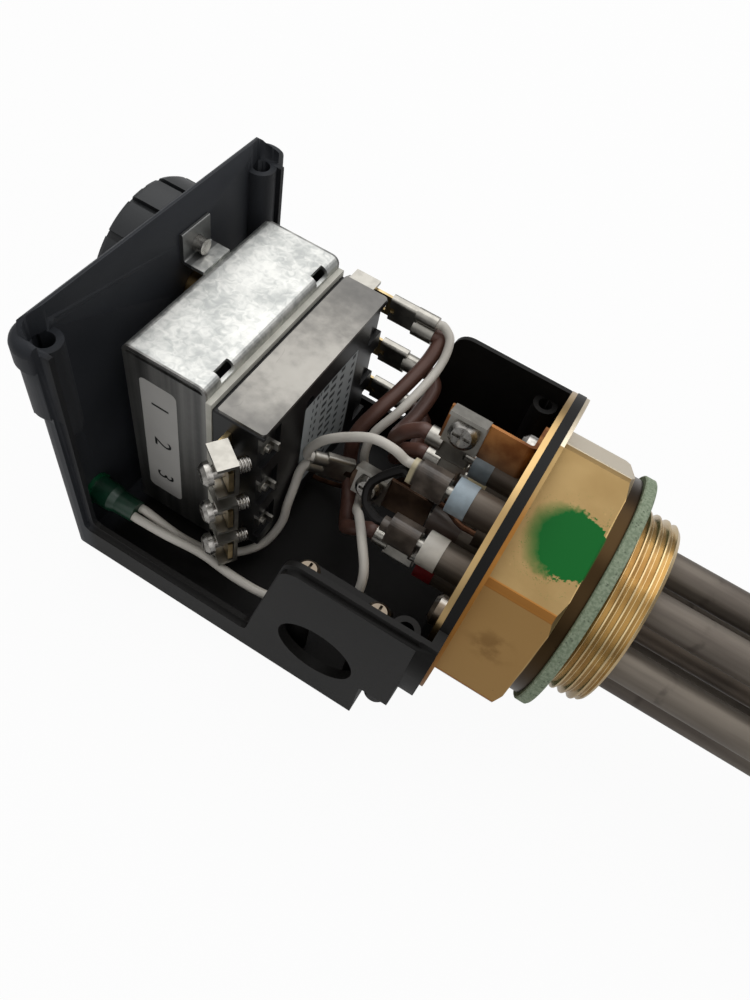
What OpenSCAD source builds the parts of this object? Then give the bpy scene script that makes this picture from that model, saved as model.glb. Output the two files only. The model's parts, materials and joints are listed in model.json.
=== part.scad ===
// Screw plug immersion heater with its terminal case open.
// The heater's axis is X, with the tubes towards +X and the case's open side up.
// The origin is on that axis, at the end of the plug's hexagon that faces the tubes.

/* [Plug] */
// Outside diameter of the pipe thread
thread_d = 47.8; // [44:0.1:52]
// Length of the collar, the washer and the pipe thread past the hexagon
thread_l = 16; // [12:0.5:24]
// Width of the hexagon across its flats
hex_af = 60; // [56:0.5:64]
// Length of the hexagon
hex_l = 16.4; // [12:0.1:24]
// Angle of a hexagon corner above the horizontal
hex_turn = 18.5; // [0:0.5:59.5]
// Thickness of the thin flange behind the hexagon
flange_t = 0.9; // [0.8:0.1:3]
// Diameter of the spigot that carries the case
spigot_d = 40; // [39.5:0.1:41]
// Length of the collar between the hexagon and the sealing washer
collar_l = 3.2; // [2:0.1:5]
// Outside diameter of the sealing washer
washer_d = 60.8; // [56:0.2:64]
// Thickness of the sealing washer
washer_t = 2.8; // [1.5:0.1:4]

/* [Heating elements] */
// Outside diameter of an element's tube
tube_d = 8.5; // [7.5:0.1:9.5]
// Diameter of the circle on which the tubes stand
tube_pcd = 28.8; // [27.5:0.1:30]
// Depth that the elements reach past the hexagon
immersion_l = 300; // [200:5:600]
// Length of bare tube behind the clamping plate
cold_l = 6.7; // [4:0.1:9]
// Outside diameter of the pocket for the sensing bulbs
pocket_d = 9; // [8:0.1:11]
// Depth that the pocket reaches past the hexagon
pocket_l = 220; // [120:5:400]
// Diameter of a terminal pin
pin_d = 3.2; // [2.6:0.1:3.6]
// Length of an insulating bush on a tube's end
bush_l = 5; // [3:0.2:8]

/* [Case] */
// Width and height of the case
case_w = 85; // [82:0.5:95]
// Depth of the wiring space between the plug's flange and the switch block
wiring_l = 55; // [52:0.2:75]
// Thickness of the case's side walls and floor
wall_t = 2.6; // [2:0.1:3.5]
// Thickness of the case's rear wall
rear_wall_t = 2.2; // [1.8:0.1:4]
// Thickness of the front panel
panel_t = 3; // [2.5:0.1:4]
// Height of the rear rim above the axis
rim_z = 15; // [10:0.5:20]
// Depth of the low side rims below the axis
low_rim = 28; // [22:0.5:32]
// Height of the lip that the cover slides over
lip_h = 2; // [1:0.1:3]
// Thickness of that lip
lip_t = 1.3; // [1:0.1:1.8]
// Thickness of the plate that clamps the case to the plug
plate_t = 1.3; // [1:0.1:3]
// Diameter of the cable entry
cable_hole_d = 20.5; // [16:0.5:22]
// Distance of the cable entry in front of the plug's flange
cable_back = 25; // [24.5:0.1:26.5]
// Depth of the cable entry's centre below the axis
cable_drop = 17.3; // [16:0.1:18]
// Diameter of the pilot holes for the cover's screws
cover_hole_d = 4.6; // [3:0.1:5]

/* [Regulator] */
// Width of the regulator's frame
frame_w = 55; // [52:0.5:58]
// Depth of the frame
frame_d = 22.8; // [20:0.2:26]
// Height of the frame
frame_h = 61; // [54:0.5:62]
// Depth of the frame's middle below the axis
frame_drop = 4.5; // [3:0.1:6]
// Thickness of the frame's sheet
sheet_t = 1; // [0.8:0.1:1.4]
// Gap between the front panel and the frame
frame_gap = 6.2; // [5:0.1:8]
// Thickness of the insulating strip behind the frame
strip_t = 1.5; // [0.8:0.1:2.5]
// Depth of the switch block
block_d = 13.7; // [12:0.1:16]
// Distance between neighbouring poles of the switch block
pole_pitch = 15.8; // [14:0.1:16]
// Diameter of the control shaft
shaft_d = 6; // [5:0.1:6.5]
// Height of the upper fixing screw above the frame's top
fixing_rise = 2.4; // [2.2:0.1:5]
// Distance between the two fixing screws of the frame
fixing_pitch = 28; // [27:0.5:30]

/* [Knob] */
// Diameter of the knob
knob_d = 44.4; // [40:0.2:48]
// Height of the knob
knob_h = 10; // [8:0.5:18]
// Gap between the knob and the front panel
knob_gap = 1.5; // [0.8:0.1:3]
// Number of grooves round the knob
knob_grooves = 14; // [8:1:24]

/* [Straps and wires] */
// Width of the copper straps
strap_w = 8.8; // [7.5:0.1:9.2]
// Thickness of the copper straps
strap_t = 1.2; // [0.8:0.1:2]
// Diameter of the brown phase wires
phase_wire_d = 4; // [3:0.1:4.2]
// Diameter of the white wires
white_wire_d = 2.4; // [1.8:0.1:2.8]
// Diameter of the sensing lines
line_d = 1.6; // [1:0.1:2]

/* [Hidden] */
$fn = 64;

// Clearances
fit_gap = 0.05;
slip_gap = 0.3;
run_gap = 0.1;

// Places along the axis
half = case_w / 2;
thread_r = thread_d / 2;
relief_r = thread_r - 1.5;
hex_end = 1;
collar_r = hex_af / 2 - 1;
seat_end = collar_l + washer_t;
flange_x = -hex_l - flange_t;
case_l = panel_t + frame_gap + frame_d + strip_t + block_d + wiring_l;
wall_x = flange_x - rear_wall_t;
plate_x = wall_x - plate_t;
cold_x = plate_x - cold_l;
panel_x = flange_x - case_l;
panel_in = panel_x + panel_t;
frame_x = panel_in + frame_gap;
frame_back = frame_x + frame_d;
block_x = frame_back + strip_t;
block_back = block_x + block_d;

// Case: the square body steps down to a round socket at the rear
floor_z = -half + wall_t;
plate_r = half - wall_t - 0.5;
socket_r = half - 0.1;
step_r = half + 5.3;
body_x = flange_x - 11.7;
step_x = flange_x - 4.1;
cavity_x = body_x - wall_t;
lip_x = panel_x + 8.5;
bump_foot_x = flange_x - 44.7;
bump_top_x = flange_x - 36.2;
panel_corner_r = 7;
panel_edge_r = 4;
floor_corner_r = 3.4;
cable_x = flange_x - cable_back;
cable_z = -cable_drop;
front_boss = [panel_x + 4, half - 4.9, 35.5];
front_boss_r = 3.9;
bulge_r = 5.2;
bulge_out = 0.9;
bulge_low = 14.5;
bulge_high = front_boss.z + 1;
bulge_rim_h = 4.5;
bulge_rim = 0.7;
rear_boss = [flange_x - 8.2, half - 4.5, 9.5];
rear_boss_r = 3.3;
rear_hole_d = 3.8;
cover_hole_depth = 14;

// Cable clamp: a bar on two posts, over the cable entry's axis
clamp_pitch = 18.5;
clamp_y = -half + 8.5;
post_r = 3.3;
post_top = cable_z + 6.3;
bar_top = cable_z + 16.3;
bar_w = 7;
clamp_screw_r = 1.5;
clamp_head_r = 3;
clamp_head_h = 2.6;

// Elements: three hairpins on one circle, in line with the hexagon's flats
tube_r = tube_d / 2;
leg_turn = hex_turn + 30;
leg_r = tube_pcd / 2;
bend_r = leg_r / 2;
bend_x = immersion_l - bend_r - tube_r;
bush_r = tube_r + 0.2;
pin_r = pin_d / 2;
pocket_wall = 0.8;
pocket_back = plate_x - 3;

// Push-on tabs and connectors
tab_w = 6.3;
tab_t = 0.8;
tab_l = 7;
tab_x = cold_x - bush_l - 1;
shell_w = tab_w + 1.3;
shell_t = tab_t + 2;
shell_l = tab_l + 1.5;
barrel_l = 5.5;
barrel_wall = 0.6;
bore_l = barrel_l - 1;
boot_w = tab_w + 1.8;
boot_t = 5;
boot_body = tab_l + 0.6;
boot_l = boot_body + 2;
boot_wall = 0.6;
white_r = white_wire_d / 2;
phase_r = phase_wire_d / 2;

// Straps stand on a plane turned about the axis: a runs along their width, n out of their face
strap_lean = 21.5;
strap_turn = leg_turn + strap_lean;
star_leg = [leg_r * cos(240 - strap_lean), leg_r * sin(240 - strap_lean)];
earth_leg = [leg_r * cos(-strap_lean), leg_r * sin(-strap_lean)];
star_bush_l = bush_l + 4;
star_x = cold_x - star_bush_l - 0.5;
star_bend = 40;
star_skew = 15;
star_neck = 1;
short_barrel_l = 3.5;
star_a = star_leg.x + 2;
star_n = star_leg.y + pin_r + fit_gap;
star_root = block_back + 12.3;
star_screw_x = star_root + 6;
link_off = white_r + slip_gap;
earth_a = earth_leg.x + tube_r + 0.55 + strap_w / 2;
earth_l = 21.7;
earth_foot = 12.7;
earth_screw_x = plate_x - earth_l + 5.5;
fixing_n = strap_t - earth_foot + 6.2;
screw_r = 2;
screw_head_r = 3.6;
screw_head_h = 2.6;
plate_screw_circle = hex_af / 2;

// Regulator
frame_y = 4.85;
frame_left = frame_y - frame_w / 2;
frame_right = frame_y + frame_w / 2;
frame_top = frame_h / 2 - frame_drop;
frame_low = frame_top - frame_h;
shaft_y = 11.5;
shaft_z = frame_top + fixing_rise - fixing_pitch / 2;
shaft_r = shaft_d / 2;
bush_bore_r = shaft_r + run_gap;
bush_out_r = shaft_r + 1.8;
fold_r = 2.2;
rear_flange_h = 4;
tab_rise = fixing_rise + 5.1;
fixing_tab_w = 10.5;
block_top = frame_top - 5;
cover_t = 1;
recess_depth = 1.4;
strip_over = 0.3;
pole_z = [for (i = [0:2]) block_top - 6 - i * pole_pitch];
block_low = pole_z[2] - 9.5;

// Screw terminals at the two ends of the switch block
bar_x = block_x + 5.4;
bar_t = 1.2;
bar_h = 7.2;
bar_l = 7.2;
saddle_t = 1;
saddle_back = 4.4;
saddle_w = 5.2;
terminal_screw_r = 1.7;
terminal_head_r = 2.9;
terminal_head_h = 2.3;
input_turn = 55;
input_x = block_x + 8;
input_y = frame_left - 7;
input_drop = 2;
input_screw_l = 9;
cage_h = 11.5;
cage_w = 7.8;
cage_l = 5;

contact_w = 3.4;
contact_h = 2.6;
contact_out = 3;

blade_x = block_back - 1;
blade_y = half - wall_t - phase_r - barrel_wall - slip_gap;
phase_off = 1.9;
lamp_off = 2.3;

// Knob
knob_back = panel_x - knob_gap;
knob_front = knob_back - knob_h;
knob_r = knob_d / 2;
knob_skin = 2.7;
hub_r = 6;
groove_w = 1.6;
groove_depth = 1.4;

// Indicator lamp in the front panel's lower corner
lamp_y = -half + 9.5;
lamp_z = -half + 17.5;
lamp_r = 4.4;
lamp_rim_r = 5.6;

// Wires and sensing lines: mouths of their connectors and the places they pass
wire_sides = 8;
wire_steps = 3;
leg_mouth = tab_x - shell_l - short_barrel_l;
star_mouth = star_neck + shell_l + short_barrel_l;
blade_mouth = blade_x + shell_l + barrel_l;
boot_mouth = tab_x - 0.5 - boot_l;
sleeve_end = panel_in + 13.5;
sleeve_hole = 4;
route_1 = [[blade_mouth + 2.3, blade_y - 2, pole_z[0] - 3], [blade_mouth + 1.8, blade_y - 7, 9], [-59.5, 22, 5],
    [-62, 15, 1], [-64.5, 11, -6], [-64, 9, -15], [-60, 4, -24], [-56, -4, -24], [-53, -9, -16]];
route_2 = [[blade_mouth + 5.3, blade_y - 3, pole_z[1] - 1.2], [-54, 25, -4], [-55, 17, -4], [-54, 11.5, 0],
    [-51.5, 9.6, 6.5]];
route_3 = [[blade_mouth + 6.3, blade_y - 3, pole_z[2] - 1.4], [-52, 24, -18], [-54, 17, -15], [-52, 14.5, -7]];
lamp_phase_route = [[blade_mouth + 4.8, blade_y - 1.5, pole_z[0] + 0.5],
    [blade_mouth + 5.8, blade_y - 6, pole_z[0] - 3], [-54, 24, 9.5], [-56, 15, 6], [-59.5, 10, -1], [-60, 8.5, -9],
    [-58, 7, -15.5], [-56, 2, -19.5], [-54, -4, -15], [-51, -10, -7], [-46.5, -17, -4], [-41.5, clamp_y + 10, -6],
    [-41, clamp_y + 6, -13], [-45, clamp_y + 5.5, -22], [-54, clamp_y + 5.5, -29], [-62, clamp_y + 2, -28.5],
    [-72, clamp_y + 1, pole_z[2] - 10.9], [-83, clamp_y + 1.5, pole_z[2] - 10.4],
    [sleeve_end + 10, lamp_y - 1, lamp_z - 0.5]];
lamp_neutral_route = [[block_back + 2, -8, -11.5], [block_back + 2, -11.5, -18], [block_back + 1.8, -14, -25],
    [block_back - 0.7, -18.5, block_low - 5.9], [-78, -24, block_low - 7.9], [-84, -28, block_low - 6.9],
    [sleeve_end + 12, lamp_y + 2, lamp_z - 3.5]];
link_route_1 = [[block_back + 2.5, -5, 0], [block_back + 5.8, -5, 6.5], [-61, -4.6, 12], [-54.5, -4.4, 16.5],
    [-49, -4.3, 16.8]];
link_route_2 = [[-49.5, -12, 3.5], [-50.5, -8.5, 7]];
line_z = floor_z + 2.9;
sensing_route = [[frame_x + sheet_t, 6, -20], [frame_x + 5.3, 6, -21], [frame_x + 13.3, 7, -30],
    [frame_back - 3.5, 9, line_z + 0.5], [block_x + 6, 12, line_z], [-68, 13, line_z + 2], [-58, 12, -27],
    [-50, 10.5, -17], [-45, 9, -9.5], [-38, 6.5, -6], [-32, 2.5, -2]];
line_off = 1.2;
bulb_x = 60;
bulb_l = 130;
bulb_r = 1.7;
bulb_off = pocket_d / 4 - pocket_wall / 2;

// Unit vector along v
function unit(v) = v / norm(v);

// Points of the arc that rounds the corner p between a and b
function corner(a, p, b, r) = r == 0 ? [p] :
    let (u = unit(a - p), v = unit(b - p), h = acos(u * v) / 2)
    let (c = p + unit(u + v) * r / sin(h), s = p + u * r / tan(h) - c, e = p + v * r / tan(h) - c)
    let (t0 = atan2(s.y, s.x), sweep = (atan2(e.y, e.x) - t0 + 540) % 360 - 180)
    [for (i = [0:6]) c + r * [cos(t0 + sweep * i / 6), sin(t0 + sweep * i / 6)]];

// Outline through points [x, y, corner radius]
function outline(q) = let (n = len(q), p = [for (c = q) [c.x, c.y]])
    [for (i = [0:n - 1]) each corner(p[(i + n - 1) % n], p[i], p[(i + 1) % n], q[i].z)];

// Turns a drawing in Y and Z so that it is extruded along X from x0 to x1
module along_x(x0, x1) {
    translate([x0, 0, 0]) rotate([90, 0, 90]) linear_extrude(x1 - x0) children();
}

// Turns a drawing in X and Z so that it is extruded along Y from y0 to y1
module along_y(y0, y1) {
    translate([0, y1, 0]) rotate([90, 0, 0]) linear_extrude(y1 - y0) children();
}

// Round bar along X
module rod(x0, x1, r) {
    translate([x0, 0, 0]) rotate([0, 90, 0]) cylinder(r = r, h = x1 - x0);
}

// Solid turned about the X axis from points [x, radius]
module turned(profile) {
    rotate([0, 90, 0]) rotate_extrude() polygon([for (p = profile) [p.y, p.x]]);
}

// Places a child on the circle of radius r, at an angle from +Y towards +Z
module on_circle(r, angle) {
    translate([0, r * cos(angle), r * sin(angle)]) children();
}

// Place of leg i, counted from the first leg at the upper far side
module on_leg(i) {
    on_circle(leg_r, leg_turn + 60 * i) children();
}

// Screw along +X with its head's underside at the origin
module cap_screw(shank_r, shank_l, head_r, head_h) {
    difference() {
        union() {
            rod(0, shank_l, shank_r);
            turned([[-head_h, 0], [-head_h, head_r * 0.7], [-head_h * 0.62, head_r], [0, head_r], [0, 0]]);
        }
        for (q = [0, 90]) rotate([q, 0, 0]) translate([-head_h - 1, -head_r * 0.62, -head_r * 0.11])
            cube([1 + head_h * 0.5, head_r * 1.24, head_r * 0.22]);
    }
}

// Section of the case across its length, with soft floor corners and round upper corners
module case_section(w, low) {
    polygon(outline([[-w / 2, low, floor_corner_r], [w / 2, low, floor_corner_r],
        [w / 2, half, panel_corner_r], [-w / 2, half, panel_corner_r]]));
}

// Trough with a round floor of radius r, cut to width w and to the same depth, up to height z
module trough(r, w, z) {
    intersection() {
        union() {
            circle(r = r, $fn = 128);
            translate([-w / 2, 0]) square([w, half * 2]);
        }
        translate([-w / 2, -w / 2]) square([w, w / 2 + z]);
    }
}

// Case seen from the side: panel, low rim, sloping shoulder and rear rim, lowered by drop
module case_side(drop) {
    polygon(outline([[panel_x, -half, panel_edge_r], [body_x, -half, 3], [body_x, rim_z - drop, 0],
        [bump_top_x, rim_z - drop, 5], [bump_foot_x, -low_rim - drop, 2], [lip_x - drop, -low_rim - drop, 2],
        [lip_x - drop, half, 1], [panel_x, half, panel_edge_r]]));
}

// Solid form of the case, w wide, with its rim lowered by drop
module case_blank(w, drop) {
    intersection() {
        along_y(-w / 2, w / 2) case_side(drop);
        along_x(panel_x, body_x) case_section(w, -half);
        linear_extrude(4 * half, center = true)
            polygon(outline([[panel_x, -w / 2, 5], [0, -w / 2, 0], [0, w / 2, 0], [panel_x, w / 2, 5]]));
    }
    along_x(body_x - 4, step_x) trough(step_r, w, rim_z - drop);
    along_x(step_x - 1, flange_x) trough(socket_r - case_w / 2 + w / 2, w - 0.2, rim_z - drop);
}

// Hollow of the case
module case_hollow() {
    inner_w = case_w - 2 * wall_t;
    along_x(panel_in, cavity_x) polygon(outline([[-inner_w / 2, floor_z, 2], [inner_w / 2, floor_z, 2],
        [inner_w / 2, 2 * half, 0], [-inner_w / 2, 2 * half, 0]]));
    along_x(cavity_x - 1, step_x - wall_t) trough(step_r - wall_t, inner_w, 2 * half);
    along_x(step_x - wall_t - 1, wall_x) trough(inner_w / 2, inner_w, 2 * half);
}

// Bosses and posts inside the case
module case_bosses() {
    for (s = [-1, 1]) {
        translate([front_boss.x, s * front_boss.y, bulge_low - 6])
            cylinder(r = front_boss_r, h = front_boss.z - bulge_low + 6);
        translate([rear_boss.x, s * rear_boss.y, -low_rim])
            cylinder(r = rear_boss_r, h = rear_boss.z + low_rim);
        translate([cable_x + s * clamp_pitch / 2, clamp_y, -half + 1])
            cylinder(r = post_r, h = post_top + half - 1);
    }
}

// Holes in the case
module case_holes() {
    for (s = [-1, 1]) {
        translate([front_boss.x, s * front_boss.y, front_boss.z - cover_hole_depth])
            cylinder(d = cover_hole_d, h = cover_hole_depth + 1);
        translate([rear_boss.x, s * rear_boss.y, rear_boss.z - cover_hole_depth])
            cylinder(d = rear_hole_d, h = cover_hole_depth + 1);
        translate([cable_x + s * clamp_pitch / 2, clamp_y, post_top - 9])
            cylinder(r = clamp_screw_r + fit_gap, h = 10);
        translate([0, shaft_y, shaft_z + s * fixing_pitch / 2])
            rod(panel_x - 1, panel_in + 1, screw_r + slip_gap);
    }
    translate([cable_x, -half - 1, cable_z]) rotate([-90, 0, 0]) cylinder(d = cable_hole_d, h = wall_t + 2);
    translate([0, shaft_y, shaft_z]) rod(panel_x - 1, panel_in + 1, bush_out_r + slip_gap);
    translate([0, lamp_y, lamp_z]) rod(panel_x - 1, panel_in + 1, lamp_r + fit_gap);
    rod(wall_x - 1, flange_x + 1, spigot_d / 2 + slip_gap);
    plate_screw_places() rod(wall_x - 1, flange_x + 1, screw_r + slip_gap);
    earth_fixing_place() rod(wall_x - 1, flange_x + 1, screw_r + slip_gap);
}

module housing() {
    color([0.11, 0.115, 0.12]) difference() {
        union() {
            difference() {
                union() {
                    case_blank(case_w, lip_h);
                    case_blank(case_w - 2 * lip_t, 0);
                    for (s = [-1, 1]) translate([front_boss.x, s * (front_boss.y + bulge_out), 0]) {
                        translate([0, 0, bulge_low]) cylinder(r = bulge_r, h = bulge_high - bulge_low);
                        translate([0, 0, bulge_high - bulge_rim_h])
                            cylinder(r = bulge_r + bulge_rim, h = bulge_rim_h);
                    }
                }
                case_hollow();
            }
            case_bosses();
            rod(wall_x, flange_x, plate_r + 0.2);
        }
        case_holes();
    }
}

module cable_clamp() {
    bar_l = clamp_pitch + 2 * post_r - 0.8;
    color([0.09, 0.09, 0.095]) difference() {
        along_y(clamp_y - bar_w / 2, clamp_y + bar_w / 2) polygon(outline([
            [cable_x - bar_l / 2, post_top, 0.8], [cable_x + bar_l / 2, post_top, 0.8],
            [cable_x + bar_l / 2, bar_top, 2], [cable_x - bar_l / 2, bar_top, 2]]));
        translate([cable_x, clamp_y - bar_w, cable_z]) rotate([-90, 0, 0]) cylinder(r = 8, h = 2 * bar_w);
        for (s = [-1, 1]) translate([cable_x + s * clamp_pitch / 2, clamp_y, post_top - 1])
            cylinder(r = clamp_screw_r + slip_gap, h = bar_top - post_top + 2);
    }
}

module cable_clamp_screws() {
    color([0.75, 0.75, 0.74]) for (s = [-1, 1])
        translate([cable_x + s * clamp_pitch / 2, clamp_y, bar_top]) rotate([0, 90, 0])
            cap_screw(clamp_screw_r, bar_top - post_top + 7, clamp_head_r, clamp_head_h);
}

// Hexagon rooted in the flange, its corners turned down and chamfered at the end that faces the tubes
module hexagon() {
    corner_r = hex_af / 2 / cos(30);
    turned_r = corner_r - 0.5;
    root_x = flange_x + flange_t / 2;
    intersection() {
        rotate([hex_turn, 0, 0]) rotate([90, 0, 90]) translate([0, 0, root_x])
            cylinder(r = corner_r, h = -root_x, $fn = 6);
        turned([[root_x, 0], [root_x, turned_r], [-hex_end, turned_r], [0, turned_r - 1.7], [0, 0]]);
    }
}

module plug_body() {
    color([0.72, 0.58, 0.33]) difference() {
        union() {
            hexagon();
            rod(flange_x, -hex_l, plate_r);
            rod(plate_x, -hex_l + 1, spigot_d / 2);
            rod(-1, collar_l, collar_r);
            turned([[-1, 0], [-1, relief_r], [seat_end - 0.5, relief_r], [seat_end + 0.2, thread_r],
                [thread_l - 1.2, thread_r], [thread_l, thread_r - 1], [thread_l, 0]]);
        }
        for (i = [0:5]) on_leg(i) rod(plate_x - 1, thread_l + 1, tube_r + fit_gap);
        rod(plate_x - 1, thread_l + 1, pocket_d / 2 + fit_gap);
        plate_screw_places() rod(flange_x - 1, -hex_l - 0.2, screw_r + fit_gap);
        earth_fixing_place() rod(flange_x - 1, -hex_l - 0.2, screw_r + fit_gap);
    }
}

module clamping_plate() {
    color([0.72, 0.6, 0.36]) difference() {
        rod(plate_x, wall_x, plate_r);
        rod(plate_x - 1, wall_x + 1, spigot_d / 2 + slip_gap);
        plate_screw_places() rod(plate_x - 1, wall_x + 1, screw_r + slip_gap);
        earth_fixing_place() rod(plate_x - 1, wall_x + 1, screw_r + slip_gap);
    }
}

// Three screws hold the clamping plate beside the one under the earth strap
module plate_screw_places() {
    for (q = [165, 255, 345]) on_circle(plate_screw_circle, q) children();
}

module plate_screws() {
    color([0.75, 0.75, 0.74]) plate_screw_places() translate([plate_x, 0, 0])
        cap_screw(screw_r, -hex_l - 0.3 - plate_x, screw_head_r, screw_head_h);
}

module sealing_washer() {
    color([0.56, 0.62, 0.54]) translate([collar_l, 0, 0]) difference() {
        turned([[0, 0], [0, washer_d / 2 - 0.3], [0.3, washer_d / 2], [washer_t - 0.3, washer_d / 2],
            [washer_t, washer_d / 2 - 0.3], [washer_t, 0]]);
        rod(-1, washer_t + 1, thread_r + slip_gap);
    }
}

// Hairpin on legs 2i and 2i + 1, with a half-round bend at its far end
module heating_element(i) {
    middle = leg_turn + 120 * i + 30;
    color([0.43, 0.4, 0.38]) rotate([middle - 90, 0, 0]) translate([0, 0, leg_r * cos(30)]) {
        for (s = [-1, 1]) translate([0, s * bend_r, 0]) rod(cold_x, bend_x, tube_r);
        translate([bend_x, 0, 0]) rotate([0, 0, -90]) rotate_extrude(angle = 180)
            translate([bend_r, 0]) circle(r = tube_r, $fn = 48);
    }
}

module heating_element_1() { heating_element(0); }
module heating_element_2() { heating_element(1); }
module heating_element_3() { heating_element(2); }

module sensor_pocket() {
    color([0.5, 0.42, 0.3]) difference() {
        turned([[pocket_back, 0], [pocket_back, pocket_d / 2], [pocket_l - 2, pocket_d / 2],
            [pocket_l, pocket_d / 2 - 2], [pocket_l, 0]]);
        rod(pocket_back - 1, pocket_l - 3, pocket_d / 2 - pocket_wall);
    }
}

// Insulating bush between a tube's end and its terminal
module bush(leg, l) {
    on_leg(leg) difference() {
        rod(cold_x - l, cold_x, bush_r);
        rod(cold_x - l - 1, cold_x + 1, pin_r + fit_gap);
    }
}

module bush_blue_grey() { color([0.5, 0.56, 0.6]) bush(0, bush_l); }
module bush_light_blue() { color([0.64, 0.7, 0.74]) bush(1, bush_l); }
module bush_white() { color([0.85, 0.84, 0.82]) bush(2, bush_l); }
module bush_red() { color([0.45, 0.08, 0.08]) bush(3, bush_l); }
module bush_brown() { color([0.33, 0.28, 0.25]) bush(4, star_bush_l); }
module bush_cream() { color([0.8, 0.74, 0.58]) bush(5, bush_l); }

// Flat push-on tab that reaches from its root at the origin towards -X
module push_tab() {
    translate([-tab_l, -tab_w / 2, -tab_t / 2]) cube([tab_l, tab_w, tab_t]);
}

// Room for a tab, and for the end of the pin that carries it, inside a connector
module push_slot() {
    translate([-tab_l - 0.2, -tab_w / 2 - fit_gap, -tab_t / 2 - fit_gap])
        cube([tab_l + 3, tab_w + 2 * fit_gap, tab_t + 2 * fit_gap]);
    rod(-2, 1, pin_r + fit_gap);
}

// Connector on a tab: each wire is [place across the tab, radius] and has a crimped barrel of length l
module connector(wires, l = barrel_l) {
    difference() {
        union() {
            along_x(-shell_l, -0.5) polygon(outline([[-shell_w / 2, -shell_t / 2, 0.9],
                [shell_w / 2, -shell_t / 2, 0.9], [shell_w / 2, shell_t / 2, 0.9],
                [-shell_w / 2, shell_t / 2, 0.9]]));
            for (w = wires) translate([0, w.x, 0]) rod(-shell_l - l, -shell_l + 0.5, w.y + barrel_wall);
        }
        push_slot();
        for (w = wires) translate([0, w.x, 0]) rod(-shell_l - l - 1, -shell_l - 1, w.y + fit_gap);
    }
}

// Root of the tab on leg i, with the tab's width along the straps
module on_tab(i) {
    on_leg(i) translate([tab_x, 0, 0]) rotate([strap_turn, 0, 0]) children();
}

module terminal_pins() {
    color([0.74, 0.72, 0.68]) for (i = [0:5]) {
        if (i == 4) on_leg(i) rod(star_x - 7, cold_x, pin_r);
        else {
            on_leg(i) rod(tab_x - 1.5, cold_x, pin_r);
            on_tab(i) push_tab();
        }
    }
}

module element_connectors() {
    color([0.76, 0.75, 0.72]) for (i = [0, 3, 5]) on_tab(i) connector([[0, phase_r]], short_barrel_l);
}

// Insulating boots over the tabs of the two legs that are linked to the star point
module link_boots() {
    color([0.27, 0.2, 0.17]) {
        on_tab(1) boot([-link_off, link_off]);
        on_tab(2) boot([0]);
    }
}

// One boot, with a hole for each wire at its place across the tab
module boot(wires) {
    neck_r = white_r + boot_wall;
    difference() {
        union() {
            along_x(-0.5 - boot_body, -0.5) flat_round(boot_w, boot_t, 2);
            along_x(-0.5 - boot_l, -boot_body) flat_round(2 * (max(wires) + neck_r), 2 * neck_r, neck_r - 0.3);
        }
        push_slot();
        for (w = wires) translate([0, w, 0]) rod(-boot_l - 2, -tab_l - 0.5, white_r + fit_gap);
    }
}

// Rectangle w by h about its middle, with corners of radius r
module flat_round(w, h, r) {
    polygon(outline([[-w / 2, -h / 2, r], [w / 2, -h / 2, r], [w / 2, h / 2, r], [-w / 2, h / 2, r]]));
}

// Strap's plane: x stays, y runs across the strap and z out of its face
module strap_plane(a, n) {
    rotate([strap_turn, 0, 0]) translate([0, a, n]) children();
}

module star_strap() {
    color([0.55, 0.32, 0.18]) strap_plane(star_a, star_n) {
        difference() {
            linear_extrude(strap_t) polygon(outline([
                [star_x, -strap_w / 2, 1], [star_x, strap_w / 2, 1], [star_root + 1, strap_w / 2, 1],
                [star_root, tab_w / 2 - 1, 0.3], [star_root, 1 - tab_w / 2, 0.3],
                [star_root + 1, -strap_w / 2, 1]]));
            translate([star_screw_x, 0, -1]) cylinder(r = screw_r + fit_gap, h = strap_t + 2);
        }
        translate([star_root, 0, strap_t / 2]) star_tilt() {
            translate([-star_neck, 0, 0]) push_tab();
            translate([-star_neck - 0.5, 1 - tab_w / 2, -tab_t / 2]) cube([star_neck + 1, tab_w - 2, tab_t]);
        }
    }
}

// Direction of the star strap's bent tab
module star_tilt() {
    rotate([0, 0, -star_skew]) rotate([0, star_bend, 0]) children();
}

// Connector of the lamp lead and the link on the star strap's bent tab
module star_connector() {
    color([0.76, 0.75, 0.72]) strap_plane(star_a, star_n + strap_t / 2) translate([star_root, 0, 0])
        star_tilt() translate([-star_neck, 0, 0])
            connector([[-link_off, white_r], [link_off, white_r]], short_barrel_l);
}

// Wire clamp on a strap: a plate under the screw with an ear bent up along one edge
module strap_clamp(x, ear) {
    translate([x, 0, strap_t]) difference() {
        union() {
            translate([-4.6, -strap_w / 2, 0]) cube([9.2, strap_w + 1, 1]);
            translate([-4.6, strap_w / 2, 0]) cube([9.2, 1, ear]);
        }
        translate([0, 0, -1]) cylinder(r = screw_r + fit_gap, h = 3);
    }
}

module star_clamp() {
    color([0.77, 0.76, 0.73]) strap_plane(star_a, star_n) strap_clamp(star_screw_x, 3.6);
}

// Screw through a strap, with its head outwards
module strap_screw(x) {
    translate([x, 0, strap_t + 1]) rotate([0, 90, 0]) cap_screw(screw_r, strap_t + 4, screw_head_r, screw_head_h);
}

module star_screw() {
    color([0.77, 0.76, 0.73]) strap_plane(star_a, star_n) strap_screw(star_screw_x);
}

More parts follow.
